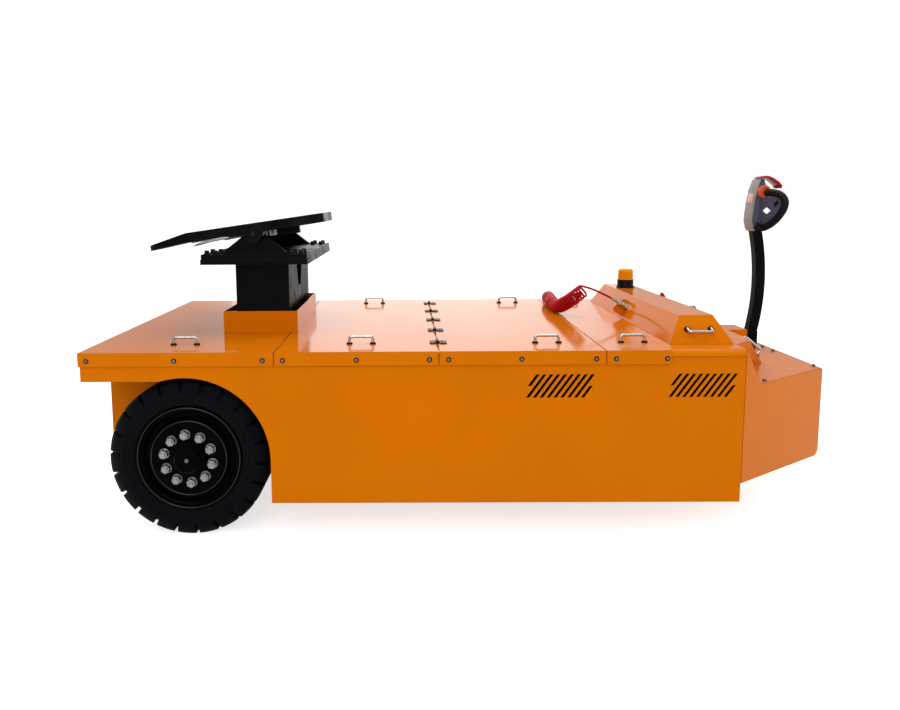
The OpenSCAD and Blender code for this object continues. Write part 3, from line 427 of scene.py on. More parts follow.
def smooth(piece: Piece, degrees: float) -> None:
    """Shades a piece smooth, apart from edges sharper than some degrees."""
    focus(piece)
    bpy.ops.object.shade_smooth_by_angle(angle=math.radians(degrees))


def bevelled(piece: Piece, width: float, segments: int = 2, degrees: float = 35) -> None:
    """Rounds a piece's edges that are sharper than some degrees, in a few segments across a width."""
    modify(piece, "BEVEL", width=MM * width, segments=segments, limit_method="ANGLE",
           angle_limit=math.radians(degrees))


def prism(loops: Sequence[Sequence[tuple[float, float]]], thickness: float) -> Piece:
    """Makes a plate from its outline and its windows, half of its thickness on each side of Z = 0.

    Args:
        loops: The outline, then each window, as points in X and Y.
        thickness: The plate's thickness along Z.

    Returns:
        The plate.
    """
    plate = joined([line([(MM * x, MM * y, 0) for x, y in (*loop, loop[0])]) for loop in loops])
    bpy.ops.object.mode_set(mode="EDIT")
    bpy.ops.mesh.select_all(action="SELECT")
    bpy.ops.mesh.remove_doubles(threshold=1e-6)
    if len(loops) > 1:
        bpy.ops.mesh.fill()
    else:
        bpy.ops.mesh.edge_face_add()
    close_mesh()
    modify(plate, "SOLIDIFY", thickness=MM * thickness, offset=0)
    return plate


def tube(points: Sequence[Sequence[float]], radius: float) -> Piece:
    """Makes a bent bar along a smooth line.

    Args:
        points: Points of the bar's middle line.
        radius: Its radius.

    Returns:
        The bar, as a mesh with closed ends.
    """
    focus(line([MM * Vector(p) for p in points]))
    bpy.ops.object.convert(target="CURVE")
    bpy.ops.object.mode_set(mode="EDIT")
    bpy.ops.curve.select_all(action="SELECT")
    bpy.ops.curve.spline_type_set(type="BEZIER")
    bpy.ops.curve.handle_type_set(type="AUTOMATIC")
    bpy.ops.object.mode_set(mode="OBJECT")
    bent = bpy.context.object
    bent.data.bevel_depth, bent.data.bevel_resolution = MM * radius, 5
    bent.data.use_fill_caps, bent.data.resolution_u = True, 8
    bpy.ops.object.convert(target="MESH")
    return bpy.context.object


def facing(place: Sequence[float], normal: Sequence[float], turn: float = 0.0) -> Matrix:
    """Gives the matrix that stands a piece made along Z on a surface's normal, turned about it."""
    stand = Vector(normal).to_track_quat("Z", "Y").to_matrix().to_4x4()
    return Matrix.Translation(place) @ stand @ Matrix.Rotation(turn, 4, "Z")


def copies(model: Piece, places: Iterable[Matrix], name: str) -> Piece:
    """Makes one piece of many copies of a model, and removes the model.

    Args:
        model: What is copied.
        places: A matrix for each copy.
        name: Name of the joined piece.

    Returns:
        The joined piece.
    """
    made = []
    for place in places:
        one = bpy.data.objects.new(name, model.data.copy())
        one.data.transform(place)
        bpy.context.collection.objects.link(one)
        made.append(one)
    bpy.data.objects.remove(model)
    piece = joined(made)
    piece.name = name
    return piece


def dress(piece: Piece, name: str, finish: Finish, body: str) -> Piece:
    """Names a piece, gives it its finish and lets it ride on a body.

    Args:
        piece: The piece, in place.
        name: Its name.
        finish: Its material.
        body: The body that carries it.

    Returns:
        The piece.
    """
    piece.name = piece.data.name = name
    piece.data.materials.clear()
    piece.data.materials.append(finish.material())
    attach(piece, body)
    LOG.info("%s on %s", name, body)
    return piece


def set_out(model: Piece, places: Iterable[Matrix], name: str, finish: Finish, body: str) -> Piece:
    """Makes one dressed piece of many copies of a model, and returns it."""
    return dress(copies(model, places, name), name, finish, body)


@dataclass
class Studio:
    """Pale floor, soft lamps and the camera of the photograph."""

    eye: Triple = (-0.261, -3.957, 1.391)
    yaw: float = -0.614
    pitch: float = 7.212
    roll: float = 0.425
    focal_px: float = 780.0
    centre_px: tuple[float, float] = (400.1, 301.0)
    image_px: tuple[int, int] = (900, 710)
    sensor_mm: float = 36.0
    aim: Triple = (0.0, 0.0, 0.5)  # what the lamps point at
    lamps: tuple[tuple[str, Triple, float, float], ...] = (
        ("overhead", (0.0, 0.5, 5.0), 6.0, 150.0),
        ("front", (-1.5, -6.0, 3.4), 4.0, 105.0),
        ("nose_rim", (5.5, -1.0, 3.0), 3.0, 60.0),
        ("far", (0.0, 7.5, 3.2), 6.0, 60.0),
    )
    ambient: float = 0.55
    mirror_fade: tuple[float, float] = (0.08, 0.32)  # sideways share where mirrored light starts and ends to fade
    mirror_low: float = 0.50
    floor_lift: float = 0.70
    floor_size: float = 400.0

    def camera(self) -> None:
        """Stands the camera where the photograph was taken."""
        yaw, pitch, roll = (math.radians(a) for a in (self.yaw, self.pitch, self.roll))
        ahead = Vector((math.sin(yaw) * math.cos(pitch), math.cos(yaw) * math.cos(pitch), -math.sin(pitch)))
        right = Vector((math.cos(yaw), -math.sin(yaw), 0))
        down = ahead.cross(right)
        across = math.cos(roll) * right + math.sin(roll) * down
        below = -math.sin(roll) * right + math.cos(roll) * down
        lens = bpy.data.cameras.new("camera")
        width, height = self.image_px
        lens.sensor_fit, lens.sensor_width = "HORIZONTAL", self.sensor_mm
        lens.lens = self.focal_px / width * lens.sensor_width
        lens.shift_x = (width / 2 - self.centre_px[0]) / width
        lens.shift_y = (self.centre_px[1] - height / 2) / width
        stand = bpy.data.objects.new("camera", lens)
        stand.matrix_world = Matrix.Translation(self.eye) @ Matrix((across, -below, -ahead)).transposed().to_4x4()
        bpy.context.collection.objects.link(stand)
        bpy.context.scene.camera = stand

    def lights(self) -> None:
        """Hangs the soft lamps and lights the world, which is white where the camera sees it."""
        for name, place, size, watts in self.lamps:
            lamp = bpy.data.lights.new(name, "AREA")
            lamp.size, lamp.energy = size, watts
            hung = bpy.data.objects.new(name, lamp)
            hung.matrix_world = facing(place, Vector(place) - Vector(self.aim))
            bpy.context.collection.objects.link(hung)
        world = bpy.data.worlds.new("studio")
        world.use_nodes = True
        tree = world.node_tree
        tree.nodes.clear()
        place = add_node(tree, "TexCoord")
        way = add_node(tree, "SeparateXYZ", {0: place.outputs["Generated"]})
        aside = add_node(tree, "Math", {0: way.outputs["X"]}, operation="ABSOLUTE")
        near, far = self.mirror_fade
        mirrored = add_node(tree, "MapRange", {"Value": aside.outputs[0], "From Min": near, "From Max": far,
                            "To Min": 1.0, "To Max": self.mirror_low}, interpolation_type="SMOOTHSTEP")
        path = add_node(tree, "LightPath")
        level = add_node(tree, "MapRange", {"Value": path.outputs["Is Glossy Ray"], "To Min": self.ambient,
                         "To Max": mirrored.outputs[0]})
        white = add_node(tree, "Math", {0: level.outputs[0], 1: self.seen(tree)}, operation="MAXIMUM")
        glow = add_node(tree, "Background", {"Color": (1, 1, 1, 1), "Strength": white.outputs[0]})
        add_node(tree, "OutputWorld", {"Surface": glow.outputs[0]})
        bpy.context.scene.world = world

    def seen(self, tree: Tree) -> bpy.types.NodeSocket:
        """Adds a socket that is one for what the camera sees, also through glass."""
        path = add_node(tree, "LightPath")
        return add_node(tree, "Math", {0: path.outputs["Is Camera Ray"],
                        1: path.outputs["Is Transmission Ray"]}, operation="MAXIMUM").outputs[0]

    def floor(self) -> None:
        """Lays the pale floor."""
        begin()
        bpy.ops.mesh.primitive_plane_add(size=self.floor_size)
        ground = bpy.context.object
        ground.name = "floor"
        pale = bpy.data.materials.new("pale_floor")
        pale.use_nodes = True
        tree = pale.node_tree
        tree.nodes.clear()
        lift = add_node(tree, "Math", {0: self.seen(tree), 1: self.floor_lift}, operation="MULTIPLY")
        shader = add_node(tree, "BsdfPrincipled", {"Base Color": linear("#F2F2F2"), "Roughness": 0.9,
                          "IOR": 1.2, "Emission Color": (1, 1, 1, 1), "Emission Strength": lift.outputs[0]})
        add_node(tree, "OutputMaterial", {"Surface": shader.outputs[0]})
        ground.data.materials.append(pale)

    def build(self) -> None:
        """Sets camera, lamps, world and floor."""
        self.camera()
        self.lights()
        self.floor()
        bpy.context.scene.view_settings.view_transform = "Standard"


@dataclass
class AirHose:
    """Coiled air hose between its fitting on the hump and the coupling at the left edge."""

    tube_d: float = 0.011
    coil_d: float = 0.076
    pitch: float = 0.018
    points_per_turn: int = 20
    points_per_span: int = 200
    last_turn: float = 0.8
    draw_in: tuple[float, float] = (1.2, 1.3)  # powers by which the last turn shrinks and moves on
    lead: tuple = ((786, 30, 892), (753, 33, 910), (720, 38, 926), (687, 44, 940), (655, 51, 951), (622, 57, 958))
    coil: tuple = ((640, 42, 935), (608, 70, 902), (575, 116, 866), (553, 176, 839), (543, 240, 830.3),
                   (541, 310, 829.3), (544, 390, 829.3), (550, 470, 829.3), (557, 550, 829.3), (564, 630, 829.3))
    tail: tuple = ((568, 692, 808), (569, 698, 808), (570, 704, 808))

    def axis(self) -> list[Vector]:
        """Rounds the coil's middle line.

        Returns:
            Closely spaced points, in metres.
        """
        ends = [2 * Vector(self.coil[0]) - Vector(self.coil[1]), 2 * Vector(self.coil[-1]) - Vector(self.coil[-2])]
        knots = [ends[0], *map(Vector, self.coil), ends[1]]
        path = []
        for a, b, c, d in zip(knots, knots[1:], knots[2:], knots[3:]):
            for i in range(self.points_per_span):
                t = i / self.points_per_span
                path.append(MM * 0.5 * (2 * b + (c - a) * t + (2 * a - 5 * b + 4 * c - d) * t * t
                                        + (3 * b - a - 3 * c + d) * t ** 3))
        return path

    def winding(self) -> list[Vector]:
        """Winds the tube round the coil's middle line.

        Returns:
            The points of the tube.
        """
        middle = self.axis()
        radius = (self.coil_d - self.tube_d) / 2
        out = MM * Vector(self.lead[-1]) - middle[0]
        walked, angle, wound = 0.0, 0.0, []
        step = self.pitch / self.points_per_turn
        for a, b in zip(middle, middle[1:]):
            ahead = (b - a).normalized()
            out = (out - ahead * out.dot(ahead)).normalized()
            walked += (b - a).length
            while walked >= step:
                walked -= step
                angle -= math.tau / self.points_per_turn
                wound.append(b + radius * (out * math.cos(angle) + ahead.cross(out) * math.sin(angle)))
        return wound + self.run_in(middle[-1], ahead, out, angle)

    def run_in(self, end: Vector, ahead: Vector, out: Vector, angle: float) -> list[Vector]:
        """Draws the last turn in to the coil's middle, on its way to the coupling.

        Args:
            end: End of the coil's middle line.
            ahead: Its direction there.
            out: The direction that angles are counted from.
            angle: Angle of the last point of the coil.

        Returns:
            The points of the last turn.
        """
        count = round(self.last_turn * self.points_per_turn)
        target = MM * Vector(self.tail[0])
        shrink, move = self.draw_in
        points = []
        for i in range(1, count):
            t = i / count
            turn = angle - math.tau * self.last_turn * t
            radius = (self.coil_d - self.tube_d) / 2 * (1 - t) ** shrink
            points.append(end.lerp(target, t ** move)
                          + radius * (out * math.cos(turn) + ahead.cross(out) * math.sin(turn)))
        return points

    def build(self) -> None:
        route = [*(MM * Vector(p) for p in self.lead[:-1]), *self.winding(), *(MM * Vector(p) for p in self.tail)]
        curve = bpy.data.curves.new("air_hose", "CURVE")
        curve.dimensions, curve.bevel_depth, curve.bevel_resolution = "3D", self.tube_d / 2, 3
        curve.resolution_u = 2
        spline = curve.splines.new("NURBS")
        spline.points.add(len(route) - 1)
        for point, place in zip(spline.points, route):
            point.co = (*place, 1)
        spline.use_endpoint_u, spline.order_u = True, 4
        hose = bpy.data.objects.new("air_hose", curve)
        bpy.context.collection.objects.link(hose)
        dress(hose, "air_hose", RED_TUBE, "chassis")
        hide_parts("hose_lead", "hose_coil", "hose_tail")


# How the top of a head is drawn, step by step: [inset over its radius, rise over its height]
HEAD_STEPS: dict[Head, tuple] = {
    Head.BUTTON: ((0.10, 0.22), (0.16, 0.14), (0.22, 0.06), (0.08, 0.0)),
    Head.SOCKET: ((0.10, 0.05), (0.36, 0.0)),
    Head.HEX: ((0.16, 0.10),),
}


@dataclass
class Fastener:
    """A screw with its washer, made along Z with its foot at the origin, in millimetres."""

    head: Head
    head_d: float
    head_h: float
    washer_d: float
    washer_t: float = 1.5
    washer_edge: float = 0.6
    socket_depth: float = 0.4  # over the head's height
    crease: float = 32

    def build(self) -> Piece:
        """Models the screw.

        Returns:
            The screw's object.
        """
        r, rim, top = self.head_d / 2, self.washer_d / 2, self.washer_t + self.head_h
        washer = turned([(0, 0), (rim, 0), (rim, self.washer_t * 0.7), (rim - self.washer_edge, self.washer_t),
                         (0, self.washer_t)], 28, self.crease)
        begin()
        sides = 6 if self.head is Head.HEX else 24
        bpy.ops.mesh.primitive_cylinder_add(vertices=sides, radius=MM * r, depth=MM * self.head_h,
                                            location=(0, 0, MM * (self.washer_t + self.head_h / 2)))
        screw = bpy.context.object
        bpy.ops.object.transform_apply(location=True)
        bpy.ops.object.mode_set(mode="EDIT")
        pick(lambda c, n: n.z > 0.9 and c.z > MM * top - 1e-5)
        for inset, rise in HEAD_STEPS[self.head]:
            bpy.ops.mesh.inset(thickness=MM * r * inset)
            bpy.ops.transform.translate(value=(0, 0, MM * self.head_h * rise))
        if self.head is not Head.HEX:
            depth = MM * self.head_h * self.socket_depth
            bpy.ops.mesh.extrude_region_move(TRANSFORM_OT_translate={"value": (0, 0, -depth)})
        bpy.ops.object.mode_set(mode="OBJECT")
        bevelled(screw, self.head_d * 0.05)
        screw = joined([screw, washer])
        smooth(screw, self.crease)
        return screw


@dataclass
class RearWheel:
    """Tyre with its lugs, wheel nuts, cap screw and the polished lips of the rim, on one side."""

    side: Side
    centre: tuple[float, float] = (REAR + 0.427, 0.335)
    outer: float = 0.818
    radius: float = 335  # the tyre is in mm
    seat_r: float = 220.6
    width: float = 250
    lugs: int = 22
    columns: int = 6
    nuts: int = 10
    nut_circle: float = 0.205
    first_nut: float = math.radians(96)
    nut_turn: float = 1.7  # so that no two nuts stand alike
    stud: Triple = (0.0105, 0.010, 0.0295)  # radius, length, height of its middle
    disc_in: float = 0.008
    cap_out: float = 0.028
    notch: Triple = (0.945, 7, 72)  # scale of its floor, depth from the side, reach
    notch_columns: tuple[int, int] = (1, 4)  # at the outer side and the inner side
    tread_r: float = 288
    lip_section: tuple = ((-3.0, 0.4), (-2.2, 2.1), (0.0, 2.8), (2.2, 2.1), (3.0, 0.4), (0.0, -0.6), (-3.0, 0.4))

    def profile(self) -> list[tuple[float, float]]:
        """Gives the tyre's section.

        Returns:
            Closed points: [radius, distance inside the outer face].
        """
        r, w = self.radius, self.width
        half = [(self.seat_r, 13.5), (226.5, 8.5), (230, 7), (231, 5.2), (236, 4.8), (244, 3), (250, 2.6),
                (250.8, 1.2), (254.5, 1.2), (255.5, 3), (260, 3), (262.5, 0.4), (286, 0.6), (298, 3), (316, 8),
                (328, 15), (r, 24), (r, 46), (r, 70), (r, 85)]
        return [*half, *((a, w - b) for a, b in reversed(half)), half[0]]

    def tyre(self) -> None:
        """Models one lug's sector, cuts its notches and spins it round the axle."""
        step = math.tau / self.lugs
        made = line([(MM * r, 0, -MM * inside) for r, inside in self.profile()])
        bpy.ops.mesh.spin(steps=self.columns, angle=step, center=(0, 0, 0), axis=(0, 0, 1))
        bpy.ops.mesh.remove_doubles(threshold=1e-5)
        bpy.ops.mesh.normals_make_consistent(inside=False)

        def column(place: Vector) -> int:
            """Number of the sector's column that a face lies in."""
            return int(abs(math.atan2(place.y, place.x)) / step * self.columns)

        shrink, sink, reach = self.notch
        outer, inner = self.notch_columns
        for number, near, far, way in ((outer, 1, reach, -1), (inner, self.width - reach, self.width - 1, 1)):
            pick(lambda c, n: column(c) == number and c.xy.length > MM * self.tread_r and near < -c.z / MM < far)
            bpy.ops.mesh.extrude_region_move(TRANSFORM_OT_translate={"value": (0, 0, way * MM * sink)})
            bpy.ops.transform.resize(value=(shrink, shrink, 1), center_override=(0, 0, 0))
        bpy.ops.mesh.select_all(action="SELECT")
        bpy.ops.mesh.spin(steps=self.lugs - 1, angle=math.tau - step, center=(0, 0, 0), axis=(0, 0, 1), dupli=True)
        close_mesh()
        bevelled(made, 1.6, 1, 40)
        smooth(made, 38)
        side = self.side.name.lower()
        piece = set_out(made, [self.stand()], f"{side}_tyre_lugs", TYRE_RUBBER, self.body())
        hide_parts(f"{side}_tyre")

    def body(self) -> str:
        """Names the body that the wheel's pieces ride on."""
        return f"{self.side.name.lower()}_wheel"

    def stand(self, inside: float = 0.0) -> Matrix:
        """Gives the matrix from the wheel's own frame, Z outwards, to the part's frame."""
        place = (self.centre[0], self.side.value * (self.outer - inside), self.centre[1])
        return facing(place, (0, self.side.value, 0))

    def nuts_and_screw(self) -> None:
        """Models a wheel nut on its washer, copies it round, and sets the screw in the hub cap."""
        nut = Fastener(Head.HEX, 40.5, 22.5, 44, 3).build()
        focus(nut)
        bpy.ops.object.mode_set(mode="EDIT")
        radius, length, middle = self.stud
        bpy.ops.mesh.primitive_cylinder_add(vertices=20, radius=radius, depth=length, location=(0, 0, middle))
        bpy.ops.object.mode_set(mode="OBJECT")
        places = []
        for i in range(self.nuts):
            angle = self.first_nut + i * math.tau / self.nuts
            round_axle = Vector((math.cos(angle), 0, math.sin(angle))) * self.nut_circle / 2
            places.append(Matrix.Translation(round_axle) @ self.stand(self.disc_in)
                          @ Matrix.Rotation(self.nut_turn * i, 4, "Z"))
        set_out(nut, places, f"{self.body()}_nuts", NUT_STEEL, self.body())
        set_out(Fastener(Head.SOCKET, 14, 2.5, 17, 1).build(), [self.stand(-self.cap_out)],
                f"{self.body()}_cap_screw", DULL_STEEL, self.body())

    def lips(self) -> None:
        """Turns the polished lips of the rim's flange and of the disc's rim, which lie proud by a hair."""
        for part, middle, inside in (("flange", 215, 0.0060), ("disc", 158.5, 0.0085)):
            lip = turned([(middle + r, z) for r, z in self.lip_section], 96, 60)
            set_out(lip, [self.stand(inside)], f"{self.body()}_{part}_lip", LIP_BLACK, self.body())

    def build(self) -> None:
        """Builds the wheel's pieces."""
        self.tyre()
        self.lips()
        self.nuts_and_screw()


@dataclass
class DeckFixings:
    """Screws along the covers' flanges and on the hinges, and the bolts of the nose."""

    flange_z: float = 0.757
    flange_x: tuple = (0.035, 0.394, 0.755, 0.837, 1.137, 1.434, 1.512, 1.808, 2.110, 2.190, 2.396)
    rear_y: tuple = (-0.78, -0.39, 0.0, 0.39, 0.78)
    lid_x: tuple = (1.476, 2.147)
    ring: tuple = ((6.0, 0), (10.5, 0), (10.5, 1.2), (9.8, 1.8), (6.0, 1.8), (6.0, 0))  # washer's section, in mm
    hinge_x: float = 1.473
    hinge_pitch: float = 0.325
    hinge_count: int = 5
    leaf_x: tuple = (-0.022, 0.026)  # screws of the fixed and the moving leaf
    leaf_y: float = 0.019
    leaf_t: float = 0.004
    nose_xy: tuple = ((2.852, 0.716), (3.191, 0.059), (3.208, 0.425))
    nose_turn: float = 0.4

    def flanges(self) -> None:
        """Puts a button screw on a black washer at each place along both flanges and the rear edge."""
        places = [facing((REAR + x, s.value * HALF_WIDTH, self.flange_z), (0, s.value, 0))
                  for x in self.flange_x for s in Side]
        places += [facing((REAR, y, self.flange_z), (-1, 0, 0)) for y in self.rear_y]
        start, end = self.lid_x
        lid = [p for p in places if REAR + start < p.translation.x < REAR + end]
        fixed = [p for p in places if p not in lid]
        for name, spots, body in (("cover", fixed, "chassis"), ("lid", lid, "lid")):
            screw = Fastener(Head.BUTTON, 12.5, 3.2, 13).build()
            set_out(screw, spots, f"{name}_screws", DULL_STEEL, body)
            set_out(turned(self.ring, 28, 30), spots, f"{name}_washers", BLACK_OXIDE, body)

    def hinges(self) -> None:
        """Puts two small screws on each leaf of each hinge."""
        rows = [(i - (self.hinge_count - 1) / 2) * self.hinge_pitch for i in range(self.hinge_count)]
        for leaf, x, body in zip(("fixed", "moving"), self.leaf_x, ("chassis", "lid")):
            spots = [facing((REAR + self.hinge_x + x, y + dy, DECK_TOP + self.leaf_t), (0, 0, 1))
                     for y in rows for dy in (-self.leaf_y, self.leaf_y)]
            screw = Fastener(Head.SOCKET, 10, 3, 12, 0.5).build()
            set_out(screw, spots, f"hinge_screws_{leaf}", BRIGHT_STEEL, body)

    def nose(self) -> None:
        """Puts hexagon bolts along the edges of the nose's top panel."""
        places = [facing((REAR + x, s.value * y, NOSE_TOP), (0, 0, 1), self.nose_turn)
                  for x, y in self.nose_xy for s in Side]
        bolt = Fastener(Head.HEX, 16, 7, 22, 1.5).build()
        set_out(bolt, places, "nose_bolts", DULL_STEEL, "chassis")

    def build(self) -> None:
        """Builds all the deck's fixings."""
        self.flanges()
        self.hinges()
        self.nose()


@dataclass
class HandleFeet:
    """Black rosettes round the feet of the bent bar handles."""

    section: tuple = ((6.1, 0), (13.5, 0), (13.5, 3.5), (12.0, 6.2), (8.8, 7.8), (6.1, 7.8), (6.1, 0))  # in mm
    half_len: float = 0.050
    deck_y: float = 0.670
    deck_x: tuple = (0.392, 1.147, 2.305)
    lid_x: float = 1.940
    hump_at: tuple = (2.580, 0.6825, 0.8475)
    hump_tilt: float = math.atan2(0.113, 0.080)
    hood_at: tuple = (2.9225, 0.385, 0.708)
    hood_tilt: float = math.atan2(0.154, 0.183)

    def build(self) -> None:
        """Models one rosette and copies it to the two feet of every handle."""
        ahead, up = Vector((1, 0, 0)), Vector((0, 0, 1))
        slope = Matrix.Rotation(self.hood_tilt, 3, "Y")
        fixed, lid = [], []
        for side in (s.value for s in Side):
            lean = Matrix.Rotation(-side * self.hump_tilt, 3, "X")
            handles = [(fixed, (x, self.deck_y, DECK_TOP), ahead, up) for x in self.deck_x]
            handles += [(lid, (self.lid_x, self.deck_y, DECK_TOP), ahead, up),
                        (fixed, self.hump_at, ahead, lean @ up),
                        (fixed, self.hood_at, slope @ ahead, slope @ up)]
            for feet, (x, y, z), along, normal in handles:
                middle = Vector((REAR + x, side * y, z))
                feet += [facing(middle + end * self.half_len * along, normal) for end in (-1, 1)]
        for name, places, body in (("handle_feet", fixed, "chassis"), ("lid_handle_feet", lid, "lid")):
            set_out(turned(self.section, 24, 50), places, name, BLACK_PLASTIC, body)


@dataclass
class VentShadeTrays:
    """Pressed black trays behind the slots of both skirts: dark sheets that paint the shade inside the body behind
    the slots.
    """

    starts: tuple = (1.827, 2.407)
    length: float = 0.280
    z: tuple = (0.595, 0.692)
    margin: float = 0.013
    inner_face: float = 0.8357
    depth: float = 0.022
    draft: tuple = (0.985, 0.965, 1)  # scale of the floor over the mouth
    steps: int = 2
    step_in: float = 0.010
    step_down: float = 0.002
    sheet: float = 0.0015

    def build(self) -> None:
        """Presses a tray from a sheet and copies it behind each group of slots."""
        begin()
        bpy.ops.mesh.primitive_plane_add(size=1)
        tray = bpy.context.object
        tray.scale = (self.length + 2 * self.margin, self.z[1] - self.z[0] + 2 * self.margin, 1)
        bpy.ops.object.transform_apply(scale=True)
        bpy.ops.object.mode_set(mode="EDIT")
        bpy.ops.mesh.select_all(action="SELECT")
        bpy.ops.mesh.inset(thickness=self.margin * 0.7)
        bpy.ops.mesh.extrude_region_move(TRANSFORM_OT_translate={"value": (0, 0, -self.depth)})
        bpy.ops.transform.resize(value=self.draft)
        for _ in range(self.steps):
            bpy.ops.mesh.inset(thickness=self.step_in)
            bpy.ops.transform.translate(value=(0, 0, -self.step_down))
        modify(tray, "SOLIDIFY", thickness=self.sheet, offset=-1)
        smooth(tray, 30)
        middle = sum(self.z) / 2
        places = [Matrix.Translation((REAR + x + self.length / 2, s.value * self.inner_face, middle))
                  @ Matrix.Rotation(s.value * -math.pi / 2, 4, "X") for x in self.starts for s in Side]
        # The black trays are painted shade: they darken the slots where the body's inside lies in shade
        set_out(tray, places, "vent_shade_trays", BLACK_ENAMEL, "chassis")


@dataclass
class CouplingFittings:
    """Bolts of the saddles, caps of the pivot, and the blade that releases the lock."""

    pivot: tuple = (REAR + 0.652, 0.0, 1.255)
    lean: float = math.radians(8)
    foot_z: float = 1.165
    bolt_x: tuple = (-0.208, -0.170, 0.172, 0.216)
    bolt_y: tuple = (0.345, 0.455)
    bolt_turn: float = 0.3
    boss_y: float = 0.446
    cap: tuple = ((0, 0), (45.5, 0), (45.5, 2.5), (43.0, 5.0), (35.0, 5.0), (33.5, 2.8), (17.0, 2.8), (15.5, 4.5),
                  (0, 4.5))  # section, in mm
    blade: tuple = ((-281, -18), (-262, -8), (-225, 1), (-180, 6), (-140, 7), (-112, 4), (-106, -2), (-112, -6),
                    (-150, -7), (-200, -10), (-245, -16))  # blade and bar are in mm
    blade_y: float = -446
    blade_t: float = 16
    bar: tuple = (-134, -114, -11, 3)
    bar_gap: float = 12  # from the bar's inner end to the middle of the machine

    def tilted(self) -> Matrix:
        """Gives the matrix of the coupling's own frame, on the pivot and leaning as at rest."""
        return Matrix.Translation(self.pivot) @ Matrix.Rotation(-self.lean, 4, "Y")

    def bolts(self) -> None:
        """Puts black bolts through the corners of the base plate."""
        places = [facing((self.pivot[0] + x, s.value * y, self.foot_z), (0, 0, 1), self.bolt_turn * i)
                  for i, x in enumerate(self.bolt_x) for y in self.bolt_y for s in Side]
        bolt = Fastener(Head.HEX, 23, 13, 29, 3).build()
        set_out(bolt, places, "saddle_bolts", BLACK_OXIDE, "lift")

    def caps(self) -> None:
        """Turns the stepped caps of the pivot and sets a screw in each."""
        places = [self.tilted() @ facing((0, s.value * self.boss_y, 0), (0, s.value, 0)) for s in Side]
        set_out(turned(self.cap, 48, 30), places, "pivot_caps", BLACK_ENAMEL, "coupler")
        lifted = [p @ Matrix.Translation((0, 0, MM * self.cap[-1][1])) for p in places]
        screw = Fastener(Head.SOCKET, 13, 3, 17, 1).build()
        set_out(screw, lifted, "pivot_screws", BLACK_OXIDE, "coupler")

    def release(self) -> None:
        """Cuts the release blade and its draw bar, in place of the plain handle."""
        blade = prism([self.blade], self.blade_t)
        bevelled(blade, 3, 3)
        upright = Matrix.Rotation(math.pi / 2, 4, "X")
        middle = MM * (self.blade_y + self.blade_t / 2)
        blade = copies(blade, [self.tilted() @ Matrix.Translation((0, middle, 0)) @ upright], "release_blade")
        x0, x1, z0, z1 = self.bar
        bar = prism([[(x0, z0), (x1, z0), (x1, z1), (x0, z1)]], -self.blade_y - self.bar_gap)
        bevelled(bar, 2.5, 2)
        middle = MM * (self.blade_y + self.bar_gap) / 2
        bar = copies(bar, [self.tilted() @ Matrix.Translation((0, middle, 0)) @ upright], "release_bar")
        blade = joined([blade, bar])
        smooth(blade, 40)
        dress(blade, "release_blade", DULL_STEEL, "coupler")
        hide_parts("release_handle")

    def build(self) -> None:
        """Builds the coupling's fittings."""
        self.bolts()
        self.caps()
        self.release()


